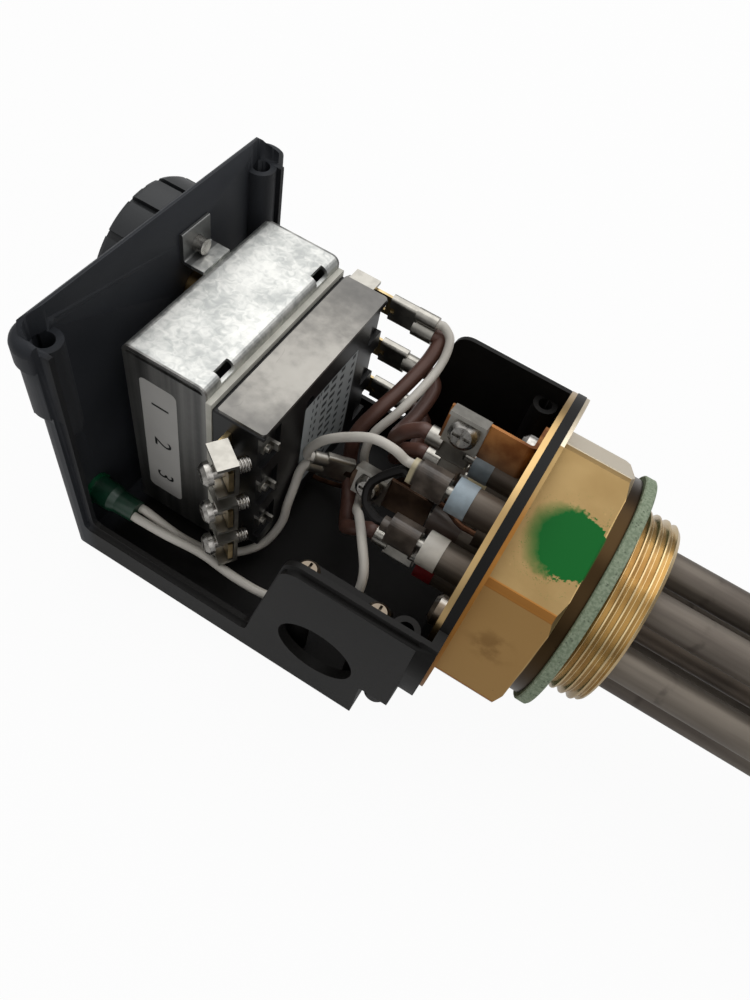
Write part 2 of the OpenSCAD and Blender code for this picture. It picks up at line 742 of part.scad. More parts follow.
module earth_strap() {
    color([0.55, 0.32, 0.18]) strap_plane(earth_a, 0) difference() {
        along_y(-strap_w / 2, strap_w / 2) polygon(outline([
            [plate_x - earth_l, 0, 0.3], [plate_x - strap_t, 0, 0.8],
            [plate_x - strap_t, strap_t - earth_foot, 0.3],
            [plate_x, strap_t - earth_foot, 0.3], [plate_x, strap_t, 2], [plate_x - earth_l, strap_t, 0.3]]));
        translate([earth_screw_x, 0, -1]) cylinder(r = screw_r + fit_gap, h = strap_t + 2);
        translate([plate_x - strap_t - 1, 0, fixing_n]) rod(0, strap_t + 2, screw_r + fit_gap);
    }
}

module earth_clamp() {
    color([0.77, 0.76, 0.73]) strap_plane(earth_a, 0) strap_clamp(earth_screw_x, 4.4);
}

module earth_screw() {
    color([0.77, 0.76, 0.73]) strap_plane(earth_a, 0) strap_screw(earth_screw_x);
}

// Place of the screw that holds the earth strap's foot to the plug
module earth_fixing_place() {
    strap_plane(earth_a, fixing_n) children();
}

module earth_fixing_screw() {
    color([0.77, 0.77, 0.76]) earth_fixing_place() translate([plate_x - strap_t, 0, 0])
        cap_screw(screw_r, -hex_l - 0.3 - plate_x + strap_t, screw_head_r, screw_head_h + 0.6);
}

// Folded sheet of the frame seen from the side: front, top and a short rear flange
module frame_side() {
    difference() {
        polygon(outline([[frame_x, frame_low, 0], [frame_back, frame_low, 0], [frame_back, frame_top, fold_r],
            [frame_x, frame_top, fold_r]]));
        polygon(outline([[frame_x + sheet_t, frame_low - 1, 0], [frame_back - sheet_t, frame_low - 1, 0],
            [frame_back - sheet_t, frame_top - sheet_t, fold_r - sheet_t],
            [frame_x + sheet_t, frame_top - sheet_t, fold_r - sheet_t]]));
        translate([frame_back - 2 * sheet_t, frame_low - 1])
            square([3 * sheet_t, frame_h - rear_flange_h + 1]);
    }
}

// Bent tab that reaches forward to the front panel, with its foot at height z
module fixing_tab(z, rise) {
    along_y(shaft_y - fixing_tab_w / 2, shaft_y + fixing_tab_w / 2) polygon(outline([
        [frame_x + sheet_t / 2, z, 0], [panel_in, z, 1.5], [panel_in, z + rise, 0.3],
        [panel_in + sheet_t, z + rise, 0.3], [panel_in + sheet_t, z + sheet_t, 0.5],
        [frame_x + sheet_t / 2, z + sheet_t, 0]]));
}

module regulator_frame() {
    color([0.74, 0.75, 0.75]) difference() {
        union() {
            along_y(frame_left, frame_right) frame_side();
            for (y = [frame_left, frame_right - sheet_t]) translate([frame_x + sheet_t / 2, y, frame_low])
                cube([frame_d - sheet_t / 2, sheet_t, frame_h - fold_r]);
            fixing_tab(frame_top - sheet_t, tab_rise + sheet_t);
            fixing_tab(shaft_z - fixing_pitch / 2 - 5.5, 11);
        }
        translate([0, shaft_y, shaft_z]) rod(frame_x - 1, frame_x + sheet_t + 1, bush_out_r + fit_gap);
        for (s = [-1, 1]) translate([0, shaft_y, shaft_z + s * fixing_pitch / 2])
            rod(panel_in - 1, panel_in + sheet_t + 1, screw_r + fit_gap);
        for (y = [frame_left + 8, frame_right - 8]) translate([frame_back - 2.2, y - 2.5, frame_top - 2.4])
            cube([3, 5, 3]);
    }
}

module frame_screws() {
    color([0.77, 0.77, 0.75]) for (s = [-1, 1]) translate([panel_x, shaft_y, shaft_z + s * fixing_pitch / 2])
        cap_screw(screw_r, panel_t + sheet_t + 2.6, screw_head_r, screw_head_h);
}

module shaft_bush() {
    color([0.72, 0.6, 0.36]) translate([0, shaft_y, shaft_z]) difference() {
        union() {
            rod(panel_x + 0.8, frame_x + 4, bush_out_r);
            rod(frame_x - 2, frame_x, bush_out_r + 2.2);
        }
        rod(panel_x - 1, frame_x + 5, bush_bore_r);
    }
}

module control_shaft() {
    color([0.7, 0.7, 0.7]) translate([0, shaft_y, shaft_z]) difference() {
        union() {
            rod(knob_front + 2.4, frame_x + 10, shaft_r);
            rod(frame_x + 4.3, frame_x + 6.3, shaft_r + 2);
        }
        translate([knob_front + 2, -shaft_r, shaft_r - 1]) cube([knob_h - 3, 2 * shaft_r, 2]);
    }
}

module knob() {
    color([0.16, 0.165, 0.17]) translate([0, shaft_y, shaft_z]) difference() {
        union() {
            difference() {
                turned([[knob_front, 0], [knob_front, knob_r - 1.5], [knob_front + 0.45, knob_r - 0.45],
                    [knob_front + 1.5, knob_r], [knob_back, knob_r], [knob_back, 0]]);
                rod(knob_front + 3.5, knob_back + 1, knob_r - knob_skin);
                for (i = [0:knob_grooves - 1]) rotate([360 / knob_grooves * (i + 0.5), 0, 0])
                    translate([knob_front - 1, -groove_w / 2, knob_r - groove_depth])
                        cube([knob_h + 2, groove_w, groove_depth + 1]);
            }
            rod(knob_front + 1, knob_back - 0.5, hub_r);
        }
        difference() {
            rod(knob_front + 2.3, knob_back + 1, shaft_r + fit_gap);
            translate([knob_front, -shaft_r - 1, shaft_r - 1 + fit_gap]) cube([knob_h - 1.2, 2 * shaft_r + 2, 2]);
        }
        translate([knob_front - 1, -0.7, hub_r]) cube([1.7, 1.4, knob_r]);
    }
}

module insulating_strip() {
    color([0.78, 0.74, 0.65]) along_x(frame_back, block_x) polygon(outline([
        [frame_left - strip_over, frame_low + 3, 0.2], [frame_right + strip_over, frame_low + 3, 0.2],
        [frame_right + strip_over, block_top + 1.6, 0.2], [frame_left - strip_over, block_top + 1.6, 0.2]]));
}

// Black switch block with a recess for each pole at both ends of its rear face
module switch_block() {
    color([0.07, 0.07, 0.075]) difference() {
        along_x(block_x, block_back) polygon(outline([
            [frame_left, block_low, 1], [frame_right, block_low, 1], [frame_right, block_top, 0.5],
            [frame_left, block_top, 0.5]]));
        for (y = [frame_left - 1, frame_right - 7], z = pole_z)
            translate([block_back - recess_depth, y, z - 5]) cube([2, 8, 10]);
        for (z = pole_z) translate([0, frame_y - 8, z]) rod(block_back - 1, block_back + 1, 1.6);
    }
}

module switch_plate() {
    color([0.66, 0.66, 0.65]) translate([0, 0, block_top]) linear_extrude(cover_t) polygon(outline([
        [block_x + 1.2, frame_left + 0.3, 0.5], [block_back, frame_left + 0.3, 1],
        [block_back, frame_right - 0.3, 1], [block_x + 1.2, frame_right - 0.3, 0.5]]));
}

// Small bent tabs riveted in the recesses of the block's rear face, at its near end
module contact_tabs() {
    color([0.77, 0.76, 0.74]) for (z = pole_z) translate([block_back - recess_depth, frame_left + 1.2, z]) {
        translate([0, 0, -contact_h / 2]) cube([tab_t, contact_w, contact_h]);
        translate([0, contact_w - tab_t, -contact_h / 2]) cube([contact_out, tab_t, contact_h]);
        translate([0, 1.3, 0]) rod(tab_t, tab_t + 1, 1);
    }
}

// Terminal bars at the far end of the block
module terminal_bars() {
    for (z = pole_z) difference() {
        translate([bar_x, frame_right, z - bar_h / 2]) cube([bar_t, bar_l, bar_h]);
        translate([bar_x - 1, frame_right + bar_l / 2, z]) rod(0, bar_t + 2, terminal_screw_r + fit_gap);
    }
}

// Saddles that close over the wire in front of each far bar
module output_clamps() {
    color([0.8, 0.79, 0.76]) for (z = pole_z)
        translate([bar_x - saddle_back, frame_right + bar_l / 2 - saddle_w / 2, z]) difference() {
            union() {
                for (s = [-1, 1]) translate([0, 0, s * (bar_h / 2 + fit_gap + saddle_t / 2) - saddle_t / 2])
                    cube([saddle_back + bar_t + 1.6, saddle_w, saddle_t]);
                translate([0, 0, -bar_h / 2 - saddle_t]) cube([saddle_t, saddle_w, bar_h + 2 * saddle_t]);
            }
            translate([0, saddle_w / 2, 0]) rod(-1, saddle_t + 1, terminal_screw_r + fit_gap);
        }
}

// Screws along the heater's axis, with their threaded ends towards the plug
module output_screws() {
    color([0.77, 0.76, 0.74]) for (z = pole_z) translate([bar_x - saddle_back, frame_right + bar_l / 2, z])
        cap_screw(terminal_screw_r, saddle_back + bar_t + 3.6, terminal_head_r, terminal_head_h);
}

// Near terminals, turned outwards so that their screws face the open side
module at_input() {
    for (z = pole_z) translate([input_x, input_y, z - input_drop]) rotate([0, 0, input_turn]) children();
}

module input_bars() {
    color([0.72, 0.68, 0.58]) for (z = pole_z) translate([input_x, input_y, z - input_drop]) difference() {
        translate([0, 0, -bar_h / 2]) linear_extrude(bar_h) {
            rotate(input_turn) translate([0, -cage_w / 2]) square([bar_t, cage_w + 0.6]);
            translate([-4, 2]) square([bar_t, frame_left - input_y - 2]);
        }
        rotate([0, 0, input_turn]) rod(-1, bar_t + 1, terminal_screw_r + fit_gap);
    }
}

// Cage round each near bar: its back takes the screw and its ears guide the wire
module input_clamps() {
    color([0.8, 0.79, 0.76]) at_input() difference() {
        union() {
            for (s = [-1, 1]) translate([-cage_l / 2, -cage_w / 2, s * (cage_h - saddle_t) / 2 - saddle_t / 2])
                cube([cage_l, cage_w, saddle_t]);
            translate([cage_l / 2 - saddle_t, -cage_w / 2, -cage_h / 2]) cube([saddle_t, cage_w, cage_h]);
        }
        rod(0, cage_l, terminal_screw_r + fit_gap);
    }
}

module input_screws() {
    color([0.77, 0.76, 0.74]) at_input() translate([-cage_l / 2 - slip_gap, 0, 0])
        cap_screw(terminal_screw_r, input_screw_l, terminal_head_r, terminal_head_h);
}

// Blade behind each far terminal bar, for a push-on connector that faces the plug
module on_blade(i) {
    translate([blade_x, blade_y, pole_z[i]]) rotate([90, 0, 0]) mirror([1, 0, 0]) children();
}

module output_connectors() {
    color([0.76, 0.75, 0.72]) {
        on_blade(0) connector([[-phase_off, phase_r], [lamp_off, white_r]]);
        for (i = [1, 2]) on_blade(i) connector([[0, phase_r]]);
    }
}

module output_bars() {
    color([0.72, 0.68, 0.58]) {
        terminal_bars();
        for (i = [0:2]) on_blade(i) {
            push_tab();
            difference() {
                translate([0, -tab_w / 2, -tab_t / 2]) cube([blade_x - bar_x - bar_t + 0.3, tab_w, tab_t]);
                translate([1, 0, blade_y - frame_right - bar_l / 2])
                    rod(0, blade_x - bar_x - bar_t, terminal_screw_r + slip_gap);
            }
        }
    }
}

module indicator_lamp() {
    color([0.1, 0.55, 0.3]) translate([0, lamp_y, lamp_z]) turned([
        [panel_x - 2.4, 0], [panel_x - 2.4, lamp_rim_r - 1.5], [panel_x - 1.2, lamp_rim_r], [panel_x, lamp_rim_r],
        [panel_x, lamp_r], [panel_in + 1, lamp_r], [panel_in + 1, 0]]);
}

module lamp_sleeve() {
    color([0.06, 0.4, 0.28]) translate([0, lamp_y, lamp_z]) difference() {
        turned([[panel_in + 1, 0], [panel_in + 1, 3.8], [panel_in + 6, 3.8], [panel_in + 8, 3.2], [sleeve_end, 3],
            [sleeve_end, 0]]);
        for (s = [-1, 1]) translate([0, s * link_off, 0])
            rod(sleeve_end - sleeve_hole, sleeve_end + 1, white_r + fit_gap);
    }
}

// Smooth curve through four points, from b to c
function spline(a, b, c, d, t) =
    b + 0.5 * t * (c - a + t * (2 * a - 5 * b + 4 * c - d + t * (3 * (b - c) + d - a)));

// Curve through all the points of a route
function curve(p) = let (n = len(p) - 1)
    concat([for (i = [0:n - 1], k = [0:wire_steps - 1])
        spline(p[max(i - 1, 0)], p[i], p[i + 1], p[min(i + 2, n)], k / wire_steps)], [p[n]]);

// Normals carried along the tangents t without twist
function carry(t, n, i = 0) = i == len(t) ? [] :
    let (m = unit(n - (n * t[i]) * t[i])) concat([m], carry(t, m, i + 1));

// Round wire of diameter d along a route
module wire(route, d) {
    c = curve(route);
    last = len(c) - 1;
    t = [for (i = [0:last]) unit(c[min(i + 1, last)] - c[max(i - 1, 0)])];
    n = carry(t, [0, 0.6, 0.8]);
    ring = [for (k = [0:wire_sides - 1]) 360 * k / wire_sides];
    points = [for (i = [0:last], q = ring) c[i] + d / 2 * (cos(q) * n[i] + sin(q) * cross(t[i], n[i]))];
    around = [for (i = [0:last - 1], k = [0:wire_sides - 1])
        let (a = i * wire_sides + k, b = i * wire_sides + (k + 1) % wire_sides)
        each [[a, a + wire_sides, b + wire_sides], [a, b + wire_sides, b]]];
    ends = [[for (k = [0:wire_sides - 1]) k], [for (k = [wire_sides - 1:-1:0]) last * wire_sides + k]];
    polyhedron(points, concat(around, ends));
}

// Straight start of a wire at [y, z]: from inside a barrel to a little way out of its mouth at x
function lead_in(x, yz, way, inside) = [for (s = [-inside, 0.2, 2]) [x + way * s, yz.x, yz.y]];

// The same in the order of a wire's end
function lead_out(x, yz, way, inside) = [for (s = [2, 0.2, -inside]) [x + way * s, yz.x, yz.y]];

// Place [y, z] of leg i, moved by a across its tab
function leg(i, a = 0) = leg_r * [cos(leg_turn + 60 * i), sin(leg_turn + 60 * i)]
    + a * [cos(strap_turn), sin(strap_turn)];

// Place on the line of the star connector: a across it and l along it from the tab's root
function star(a, l) = let (run = l * cos(star_bend), n = star_n + strap_t / 2 + l * sin(star_bend))
    let (w = star_a + a * cos(star_skew) + run * sin(star_skew))
    [star_root + a * sin(star_skew) - run * cos(star_skew), w * cos(strap_turn) - n * sin(strap_turn),
        w * sin(strap_turn) + n * cos(strap_turn)];

// Straight start of a wire in the star connector
function star_in(a) = [for (l = [1.2 - short_barrel_l, 0.2, 1.6]) star(a, star_mouth + l)];

module phase_wire_1() {
    color([0.33, 0.22, 0.19]) wire(concat(lead_in(blade_mouth, [blade_y, pole_z[0] - phase_off], 1, bore_l - 0.2),
        route_1, lead_out(leg_mouth, leg(3), -1, short_barrel_l - 1.2)), phase_wire_d);
}

module phase_wire_2() {
    color([0.33, 0.22, 0.19]) wire(concat(lead_in(blade_mouth, [blade_y, pole_z[1]], 1, bore_l - 0.2),
        route_2, lead_out(leg_mouth, leg(0), -1, short_barrel_l - 1.2)), phase_wire_d);
}

module phase_wire_3() {
    color([0.33, 0.22, 0.19]) wire(concat(lead_in(blade_mouth, [blade_y, pole_z[2]], 1, bore_l - 0.2),
        route_3, lead_out(leg_mouth, leg(5), -1, short_barrel_l - 1.2)), phase_wire_d);
}

module lamp_phase_lead() {
    color([0.8, 0.78, 0.76]) wire(concat(lead_in(blade_mouth, [blade_y, pole_z[0] + lamp_off], 1, bore_l - 0.2),
        lamp_phase_route, lead_out(sleeve_end, [lamp_y - link_off, lamp_z], 1, sleeve_hole - 0.2)), white_wire_d);
}

module lamp_neutral_lead() {
    color([0.8, 0.78, 0.76]) wire(concat(star_in(-link_off),
        lamp_neutral_route, lead_out(sleeve_end, [lamp_y + link_off, lamp_z], 1, sleeve_hole - 0.2)), white_wire_d);
}

module star_link_1() {
    color([0.8, 0.78, 0.76]) wire(concat(star_in(link_off),
        link_route_1, lead_out(boot_mouth, leg(1, link_off), -1, boot_l - tab_l - 0.3)), white_wire_d);
}

module star_link_2() {
    color([0.3, 0.24, 0.21]) wire(concat(lead_in(boot_mouth, leg(2), -1, boot_l - tab_l - 0.3),
        link_route_2, lead_out(boot_mouth, leg(1, -link_off), -1, boot_l - tab_l - 0.3)), white_wire_d);
}

// Sensing line from the regulator into the pocket, with its bulb beside the other one
module sensing_line(side) {
    y = side * bulb_off;
    wire(concat([for (q = sensing_route) q + [0, side * line_off, 0]],
        [[pocket_back - 4, y, 0], [pocket_back + 4, y, 0], [bulb_x / 2, y, 0], [bulb_x + 1, y, 0]]), line_d);
    translate([0, y, 0]) rod(bulb_x, bulb_x + bulb_l, bulb_r);
}

module sensing_line_1() { color([0.55, 0.36, 0.24]) sensing_line(-1); }
module sensing_line_2() { color([0.55, 0.36, 0.24]) sensing_line(1); }

housing();
cable_clamp();
cable_clamp_screws();
plug_body();
clamping_plate();
plate_screws();
sealing_washer();
heating_element_1();
heating_element_2();
heating_element_3();
sensor_pocket();
bush_blue_grey();
bush_light_blue();
bush_white();
bush_red();
bush_brown();
bush_cream();
terminal_pins();
element_connectors();
star_connector();
link_boots();
star_strap();
star_clamp();
star_screw();
earth_strap();
earth_clamp();
earth_screw();
earth_fixing_screw();
regulator_frame();
frame_screws();
shaft_bush();
control_shaft();
knob();
insulating_strip();
switch_block();
switch_plate();
contact_tabs();
input_bars();
input_clamps();
input_screws();
output_bars();
output_clamps();
output_screws();
output_connectors();
indicator_lamp();
lamp_sleeve();
phase_wire_1();
phase_wire_2();
phase_wire_3();
lamp_phase_lead();
lamp_neutral_lead();
star_link_1();
star_link_2();
sensing_line_1();
sensing_line_2();
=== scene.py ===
import json
import math

import bmesh
import bpy
import numpy as np
from mathutils import Matrix, Vector


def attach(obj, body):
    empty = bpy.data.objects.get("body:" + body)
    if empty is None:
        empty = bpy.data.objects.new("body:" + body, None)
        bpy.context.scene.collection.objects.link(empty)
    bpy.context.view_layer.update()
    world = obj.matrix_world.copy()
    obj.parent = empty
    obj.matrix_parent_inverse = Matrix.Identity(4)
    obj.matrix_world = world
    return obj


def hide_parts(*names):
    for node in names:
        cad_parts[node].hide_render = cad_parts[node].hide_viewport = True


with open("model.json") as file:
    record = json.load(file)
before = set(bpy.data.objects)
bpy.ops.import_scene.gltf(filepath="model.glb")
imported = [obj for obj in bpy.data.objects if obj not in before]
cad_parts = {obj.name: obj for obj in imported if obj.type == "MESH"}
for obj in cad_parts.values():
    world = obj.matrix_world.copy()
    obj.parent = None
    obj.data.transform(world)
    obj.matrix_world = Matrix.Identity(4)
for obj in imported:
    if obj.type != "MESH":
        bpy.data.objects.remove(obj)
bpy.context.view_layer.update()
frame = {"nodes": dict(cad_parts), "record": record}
nodes = frame["nodes"]
scene = bpy.context.scene
scene.view_settings.view_transform = "Standard"
mm = 0.001


def linear(r, g, b):
    # screen colour, 0 to 255, as a linear one
    c = np.array([r, g, b]) / 255
    return tuple(np.where(c < 0.04045, c / 12.92, ((c + 0.055) / 1.055) ** 2.4))


# camera: solved from the plug's circles and the case's straight edges; its place is in millimetres
view = {
    "place": (-18.94, -109.89, 159.76),
    "right": (0.85193627, 0.49887876, 0.15913699),
    "down": (0.50004561, -0.68485691, -0.53002397),
    "ahead": (-0.15543163, 0.53112239, -0.83291657),
    "lens": 28.36, "sensor": 36, "clip": (0.005, 20),
}
lens = bpy.data.cameras.new("camera")
lens.lens, lens.sensor_width = view["lens"], view["sensor"]
lens.clip_start, lens.clip_end = view["clip"]
camera = bpy.data.objects.new("camera", lens)
scene.collection.objects.link(camera)
turn = Matrix([view["right"], [-v for v in view["down"]], [-v for v in view["ahead"]]]).transposed()
camera.matrix_world = Matrix.Translation([v * mm for v in view["place"]]) @ turn.to_4x4()
scene.camera = camera
print("camera is set")


class Value:
    # a socket in a shader; operators on it add Math nodes
    def __init__(self, tree, socket):
        self.tree, self.socket = tree, socket

    # a new node of this kind, with its settings and the values or links of its sockets
    def node(self, kind, settings, sockets, out=0):
        n = self.tree.nodes.new("ShaderNode" + kind)
        for key, value in settings.items():
            setattr(n, key, value)
        for key, value in sockets.items():
            self.feed(n.inputs[key], value)
        return Value(self.tree, n.outputs[out])

    def feed(self, socket, value):
        if isinstance(value, Value):
            self.tree.links.new(value.socket, socket)
        elif isinstance(value, tuple) and socket.type == "RGBA":
            socket.default_value = (*value, 1)
        else:
            socket.default_value = value

    def math(self, operation, *values):
        return self.node("Math", {"operation": operation}, dict(enumerate(values)))

    def __add__(self, o):
        return self.math("ADD", self, o)

    def __radd__(self, o):
        return self.math("ADD", o, self)

    def __sub__(self, o):
        return self.math("SUBTRACT", self, o)

    def __rsub__(self, o):
        return self.math("SUBTRACT", o, self)

    def __mul__(self, o):
        return self.math("MULTIPLY", self, o)

    def __rmul__(self, o):
        return self.math("MULTIPLY", o, self)

    def __truediv__(self, o):
        return self.math("DIVIDE", self, o)

    def least(self, o):
        return self.math("MINIMUM", self, o)

    def most(self, o):
        return self.math("MAXIMUM", self, o)

    def root(self):
        return self.math("SQRT", self)

    def absolute(self):
        return self.math("ABSOLUTE", self)

    def fraction(self):
        return self.math("FRACT", self)

    # 0 below low, 1 above high, smooth between
    def ramp(self, low, high):
        return self.node("MapRange", {"interpolation_type": "SMOOTHSTEP"},
                         {"Value": self, "From Min": low, "From Max": high})

    # the same between two places in millimetres
    def past(self, low, high):
        return self.ramp(low * mm, high * mm)

    def mix(self, factor, a, b):
        return self.node("Mix", {"data_type": "RGBA"}, {0: factor, 6: a, 7: b}, 2)

    # one colour where a noise is low, the other where it is high
    def blend(self, dark, light, low=0.35, high=0.65):
        return self.mix(self.ramp(low, high), dark, light)


def output(tree, kind, out):
    # an output of a new node that takes no inputs
    return Value(tree, None).node(kind, {}, {}, out)


class Surface:
    # a Principled material on Object coordinates, which are the row frame in metres
    def __init__(self, name, base, rough, metal=0.0, coat=0.0, gloss=0.5):
        self.material = bpy.data.materials.new(name)
        self.material.use_nodes = True
        tree = self.material.node_tree
        self.shader = tree.nodes["Principled BSDF"]
        self.place = output(tree, "TexCoord", "Object")
        settings = {"Base Color": base, "Roughness": rough, "Metallic": metal, "Coat Weight": coat,
                    "Specular IOR Level": gloss}
        for key, value in settings.items():
            self.put(key, value)

    def axes(self):
        return [self.place.node("SeparateXYZ", {}, {0: self.place}, i) for i in range(3)]

    def noise(self, scale, detail, stretch=None, distortion=0.0):
        at = self.place
        if stretch:
            at = at.node("VectorMath", {"operation": "MULTIPLY"}, {0: at, 1: stretch})
        sockets = {"Vector": at, "Scale": scale, "Detail": detail, "Distortion": distortion}
        return at.node("TexNoise", {}, sockets)

    def cells(self, scale):
        return self.place.node("TexVoronoi", {}, {"Vector": self.place, "Scale": scale})

    # distance in metres from a point in millimetres
    def away(self, point):
        x, y, z = (a - p * mm for a, p in zip(self.axes(), point))
        return (x * x + y * y + z * z).root()

    # thin wavering lines where a noise passes its middle value
    def scratches(self, scale, width):
        return 1 - (self.noise(scale, 3) - 0.5).absolute().ramp(0, width)

    def put(self, key, value):
        self.place.feed(self.shader.inputs[key], value)

    # relief of the given height in the normal, its depth in millimetres
    def bump(self, height, depth, strength):
        sockets = {"Strength": strength, "Distance": depth * mm, "Height": height}
        self.put("Normal", self.place.node("Bump", {}, sockets))


plainFinish = {"detail": 4, "roughShare": 0.25, "grainScale": 1800, "grainDetail": 3, "grainStrength": 0.6}


def plain(name, base, rough, metal=0.0, coat=0.0, mottle=0.15, scale=60, grain=0.0, gloss=0.5):
    # base colour broken by a soft noise, roughness by the same noise, and a fine grain in the normal
    own = plainFinish
    skin = Surface(name, base, rough, metal, coat, gloss)
    soft = skin.noise(scale, own["detail"])
    dark = tuple(c * (1 - mottle) for c in base)
    light = tuple(min(1, c * (1 + mottle)) for c in base)
    skin.put("Base Color", soft.blend(dark, light))
    skin.put("Roughness", (soft - 0.5) * (own["roughShare"] * rough) + rough)
    if grain:
        skin.bump(skin.noise(own["grainScale"], own["grainDetail"]), grain, own["grainStrength"])
    return skin


# wires: the routes of part.scad, in millimetres, smoothed through their points
wires = {
    "leg": 14.4, "legTurn": 48.5, "legStep": 60, "legMouth": -45.5, "bootMouth": -43.6, "strapTurn": 70,
    "bladeMouth": -59.3, "bladeY": 37.0, "poles": (15.0, -0.8, -16.6), "sleeveEnd": -103.0,
    "lamp": (-33.0, -25.0), "phaseOff": 1.9, "lampOff": 2.3, "linkOff": 1.5,
    "star": (-60.0, -9.2696, -6.7138), "starMouth": 13.0, "bend": 40, "skew": 15,
    "lead": (0.2, 2), "starLead": (-2.3, 0.2, 1.6), "inCrimp": 4.3, "inSocket": 2.3, "inSleeve": 3.8,
    "phase": 4.0, "thin": 2.4, "steps": 9, "rounding": 6,
}


def polar(angle):
    return np.array([math.cos(math.radians(angle)), math.sin(math.radians(angle))])


def leadIn(x, y, z, way, inside):
    # out of a mouth at x: one point inside it and two straight in front of it
    return [(x + way * s, y, z) for s in (-inside, *wires["lead"])]


def atBlade(pole, off=0.0):
    return leadIn(wires["bladeMouth"], wires["bladeY"], wires["poles"][pole] + off, 1, wires["inCrimp"])


def atLeg(i, mouth, across=0.0):
    turn = wires["legTurn"] + wires["legStep"] * i
    y, z = wires["leg"] * polar(turn) + across * polar(wires["strapTurn"])
    return leadIn(mouth, y, z, -1, wires["inSocket"])[::-1]


def atLamp(off):
    return leadIn(wires["sleeveEnd"], wires["lamp"][0] + off, wires["lamp"][1], 1, wires["inSleeve"])[::-1]


def starPlace(across, along):
    # the star strap's turned and tilted end, from places across it and along it
    root, a, n = wires["star"]
    bend, skew, strap = polar(wires["bend"]), polar(wires["skew"]), polar(wires["strapTurn"])
    run = along * bend[0]
    wide = a + across * skew[0] + run * skew[1]
    high = n + along * bend[1]
    return (root + across * skew[1] - run * skew[0], wide * strap[0] - high * strap[1],
            wide * strap[1] + high * strap[0])


def atStar(across):
    return [starPlace(across, wires["starMouth"] + s) for s in wires["starLead"]]


def smooth(points, steps):
    # uniform Catmull-Rom curve: each span is a cubic through its two points with the neighbours' slope
    p = np.array(points, float)
    p = np.vstack([p[:1], p, p[-1:]])
    t = np.linspace(0, 1, steps, endpoint=False)[None, :, None]
    a, b, c, d = (p[i:len(p) - 3 + i][:, None, :] for i in range(4))
    spans = b + 0.5 * t * (c - a + t * (2 * a - 5 * b + 4 * c - d + t * (3 * (b - c) + d - a)))
    return np.vstack([spans.reshape(-1, p.shape[1]), p[-1:]])


def wire(name, points, diameter):
    path = smooth(points, wires["steps"]) * mm
    curve = bpy.data.curves.new(name + "_covering", "CURVE")
    # the radius is on the points, so that the curve's own box is true
    curve.dimensions, curve.bevel_depth, curve.bevel_resolution = "3D", 1, wires["rounding"]
    curve.use_fill_caps = True
    spline = curve.splines.new("POLY")
    spline.points.add(len(path) - 1)
    spline.points.foreach_set("co", np.hstack([path, np.ones((len(path), 1))]).ravel())
    spline.points.foreach_set("radius", np.full(len(path), diameter * mm / 2))
    spline.use_smooth = True
    piece = bpy.data.objects.new(name + "_covering", curve)
    scene.collection.objects.link(piece)
    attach(piece, "heater")
    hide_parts(name)
    diameter * mm
    return piece


# each route: thickness, start, listed points, end
routes = {
    "phase_wire_1": (
        wires["phase"], atBlade(0, -wires["phaseOff"]),
        [(-57, 35, 12), (-57.5, 30, 9), (-59.5, 22, 5), (-62, 15, 1), (-64.5, 11, -6), (-64, 9, -15),
         (-60, 4, -24), (-56, -4, -24), (-53, -9, -16)],
        atLeg(3, wires["legMouth"])),
    "phase_wire_2": (
        wires["phase"], atBlade(1),
        [(-54, 34, -2), (-54, 25, -4), (-55, 17, -4), (-54, 11.5, 0), (-51.5, 9.6, 6.5)],
        atLeg(0, wires["legMouth"])),
    "phase_wire_3": (
        wires["phase"], atBlade(2),
        [(-53, 34, -18), (-52, 24, -18), (-54, 17, -15), (-52, 14.5, -7)],
        atLeg(5, wires["legMouth"])),
    "lamp_phase_lead": (
        wires["thin"], atBlade(0, wires["lampOff"]),
        [(-54.5, 35.5, 15.5), (-53.5, 31, 12), (-54, 24, 9.5), (-56, 15, 6), (-59.5, 10, -1),
         (-60, 8.5, -9), (-58, 7, -15.5), (-56, 2, -19.5), (-54, -4, -15), (-51, -10, -7),
         (-46.5, -17, -4), (-41.5, -24, -6), (-41, -28, -13), (-45, -28.5, -22), (-54, -28.5, -29),
         (-62, -32, -28.5), (-72, -33, -27.5), (-83, -32.5, -27), (-93, -34, -25.5)],
        atLamp(-wires["linkOff"])),
    "lamp_neutral_lead": (
        wires["thin"], atStar(-wires["linkOff"])[:2],
        [(-70.9, -6.3, -8.9), (-70.7, -8.6, -12.8), (-70.5, -11.5, -18), (-70.5, -14, -25),
         (-73, -18.5, -32), (-78, -24, -34), (-84, -28, -33), (-91, -31, -28.5)],
        atLamp(wires["linkOff"])),
    "star_link_1": (
        wires["thin"], atStar(wires["linkOff"]),
        [(-69.8, -5, 0), (-66.5, -5, 6.5), (-61, -4.6, 12), (-54.5, -4.4, 16.5), (-49, -4.3, 16.8)],
        atLeg(1, wires["bootMouth"], wires["linkOff"])),
}
covering = {}
for name, (thick, start, points, end) in routes.items():
    covering[name] = wire(name, start + points + end, thick)
print("wires are laid:", len(covering))


def around(count):
    # a row of angles over one turn
    return np.linspace(0, 2 * np.pi, count, endpoint=False)[None, :]


def tube(name, points):
    # quads over a grid of points, shape (rows, columns, 3), with the last column joined to the first
    rows, columns = points.shape[:2]
    left = np.arange(rows * columns).reshape(rows, columns)
    right = np.roll(left, -1, 1)
    faces = np.stack([left[:-1], right[:-1], right[1:], left[1:]], -1).reshape(-1, 4)
    mesh = bpy.data.meshes.new(name)
    mesh.from_pydata(points.reshape(-1, 3).tolist(), [], faces.tolist())
    mesh.polygons.foreach_set("use_smooth", np.ones(len(faces), bool))
    mesh.update()
    return mesh


def addPiece(name, mesh, body):
    o = bpy.data.objects.new(name, mesh)
    scene.collection.objects.link(o)
    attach(o, body)
    return o


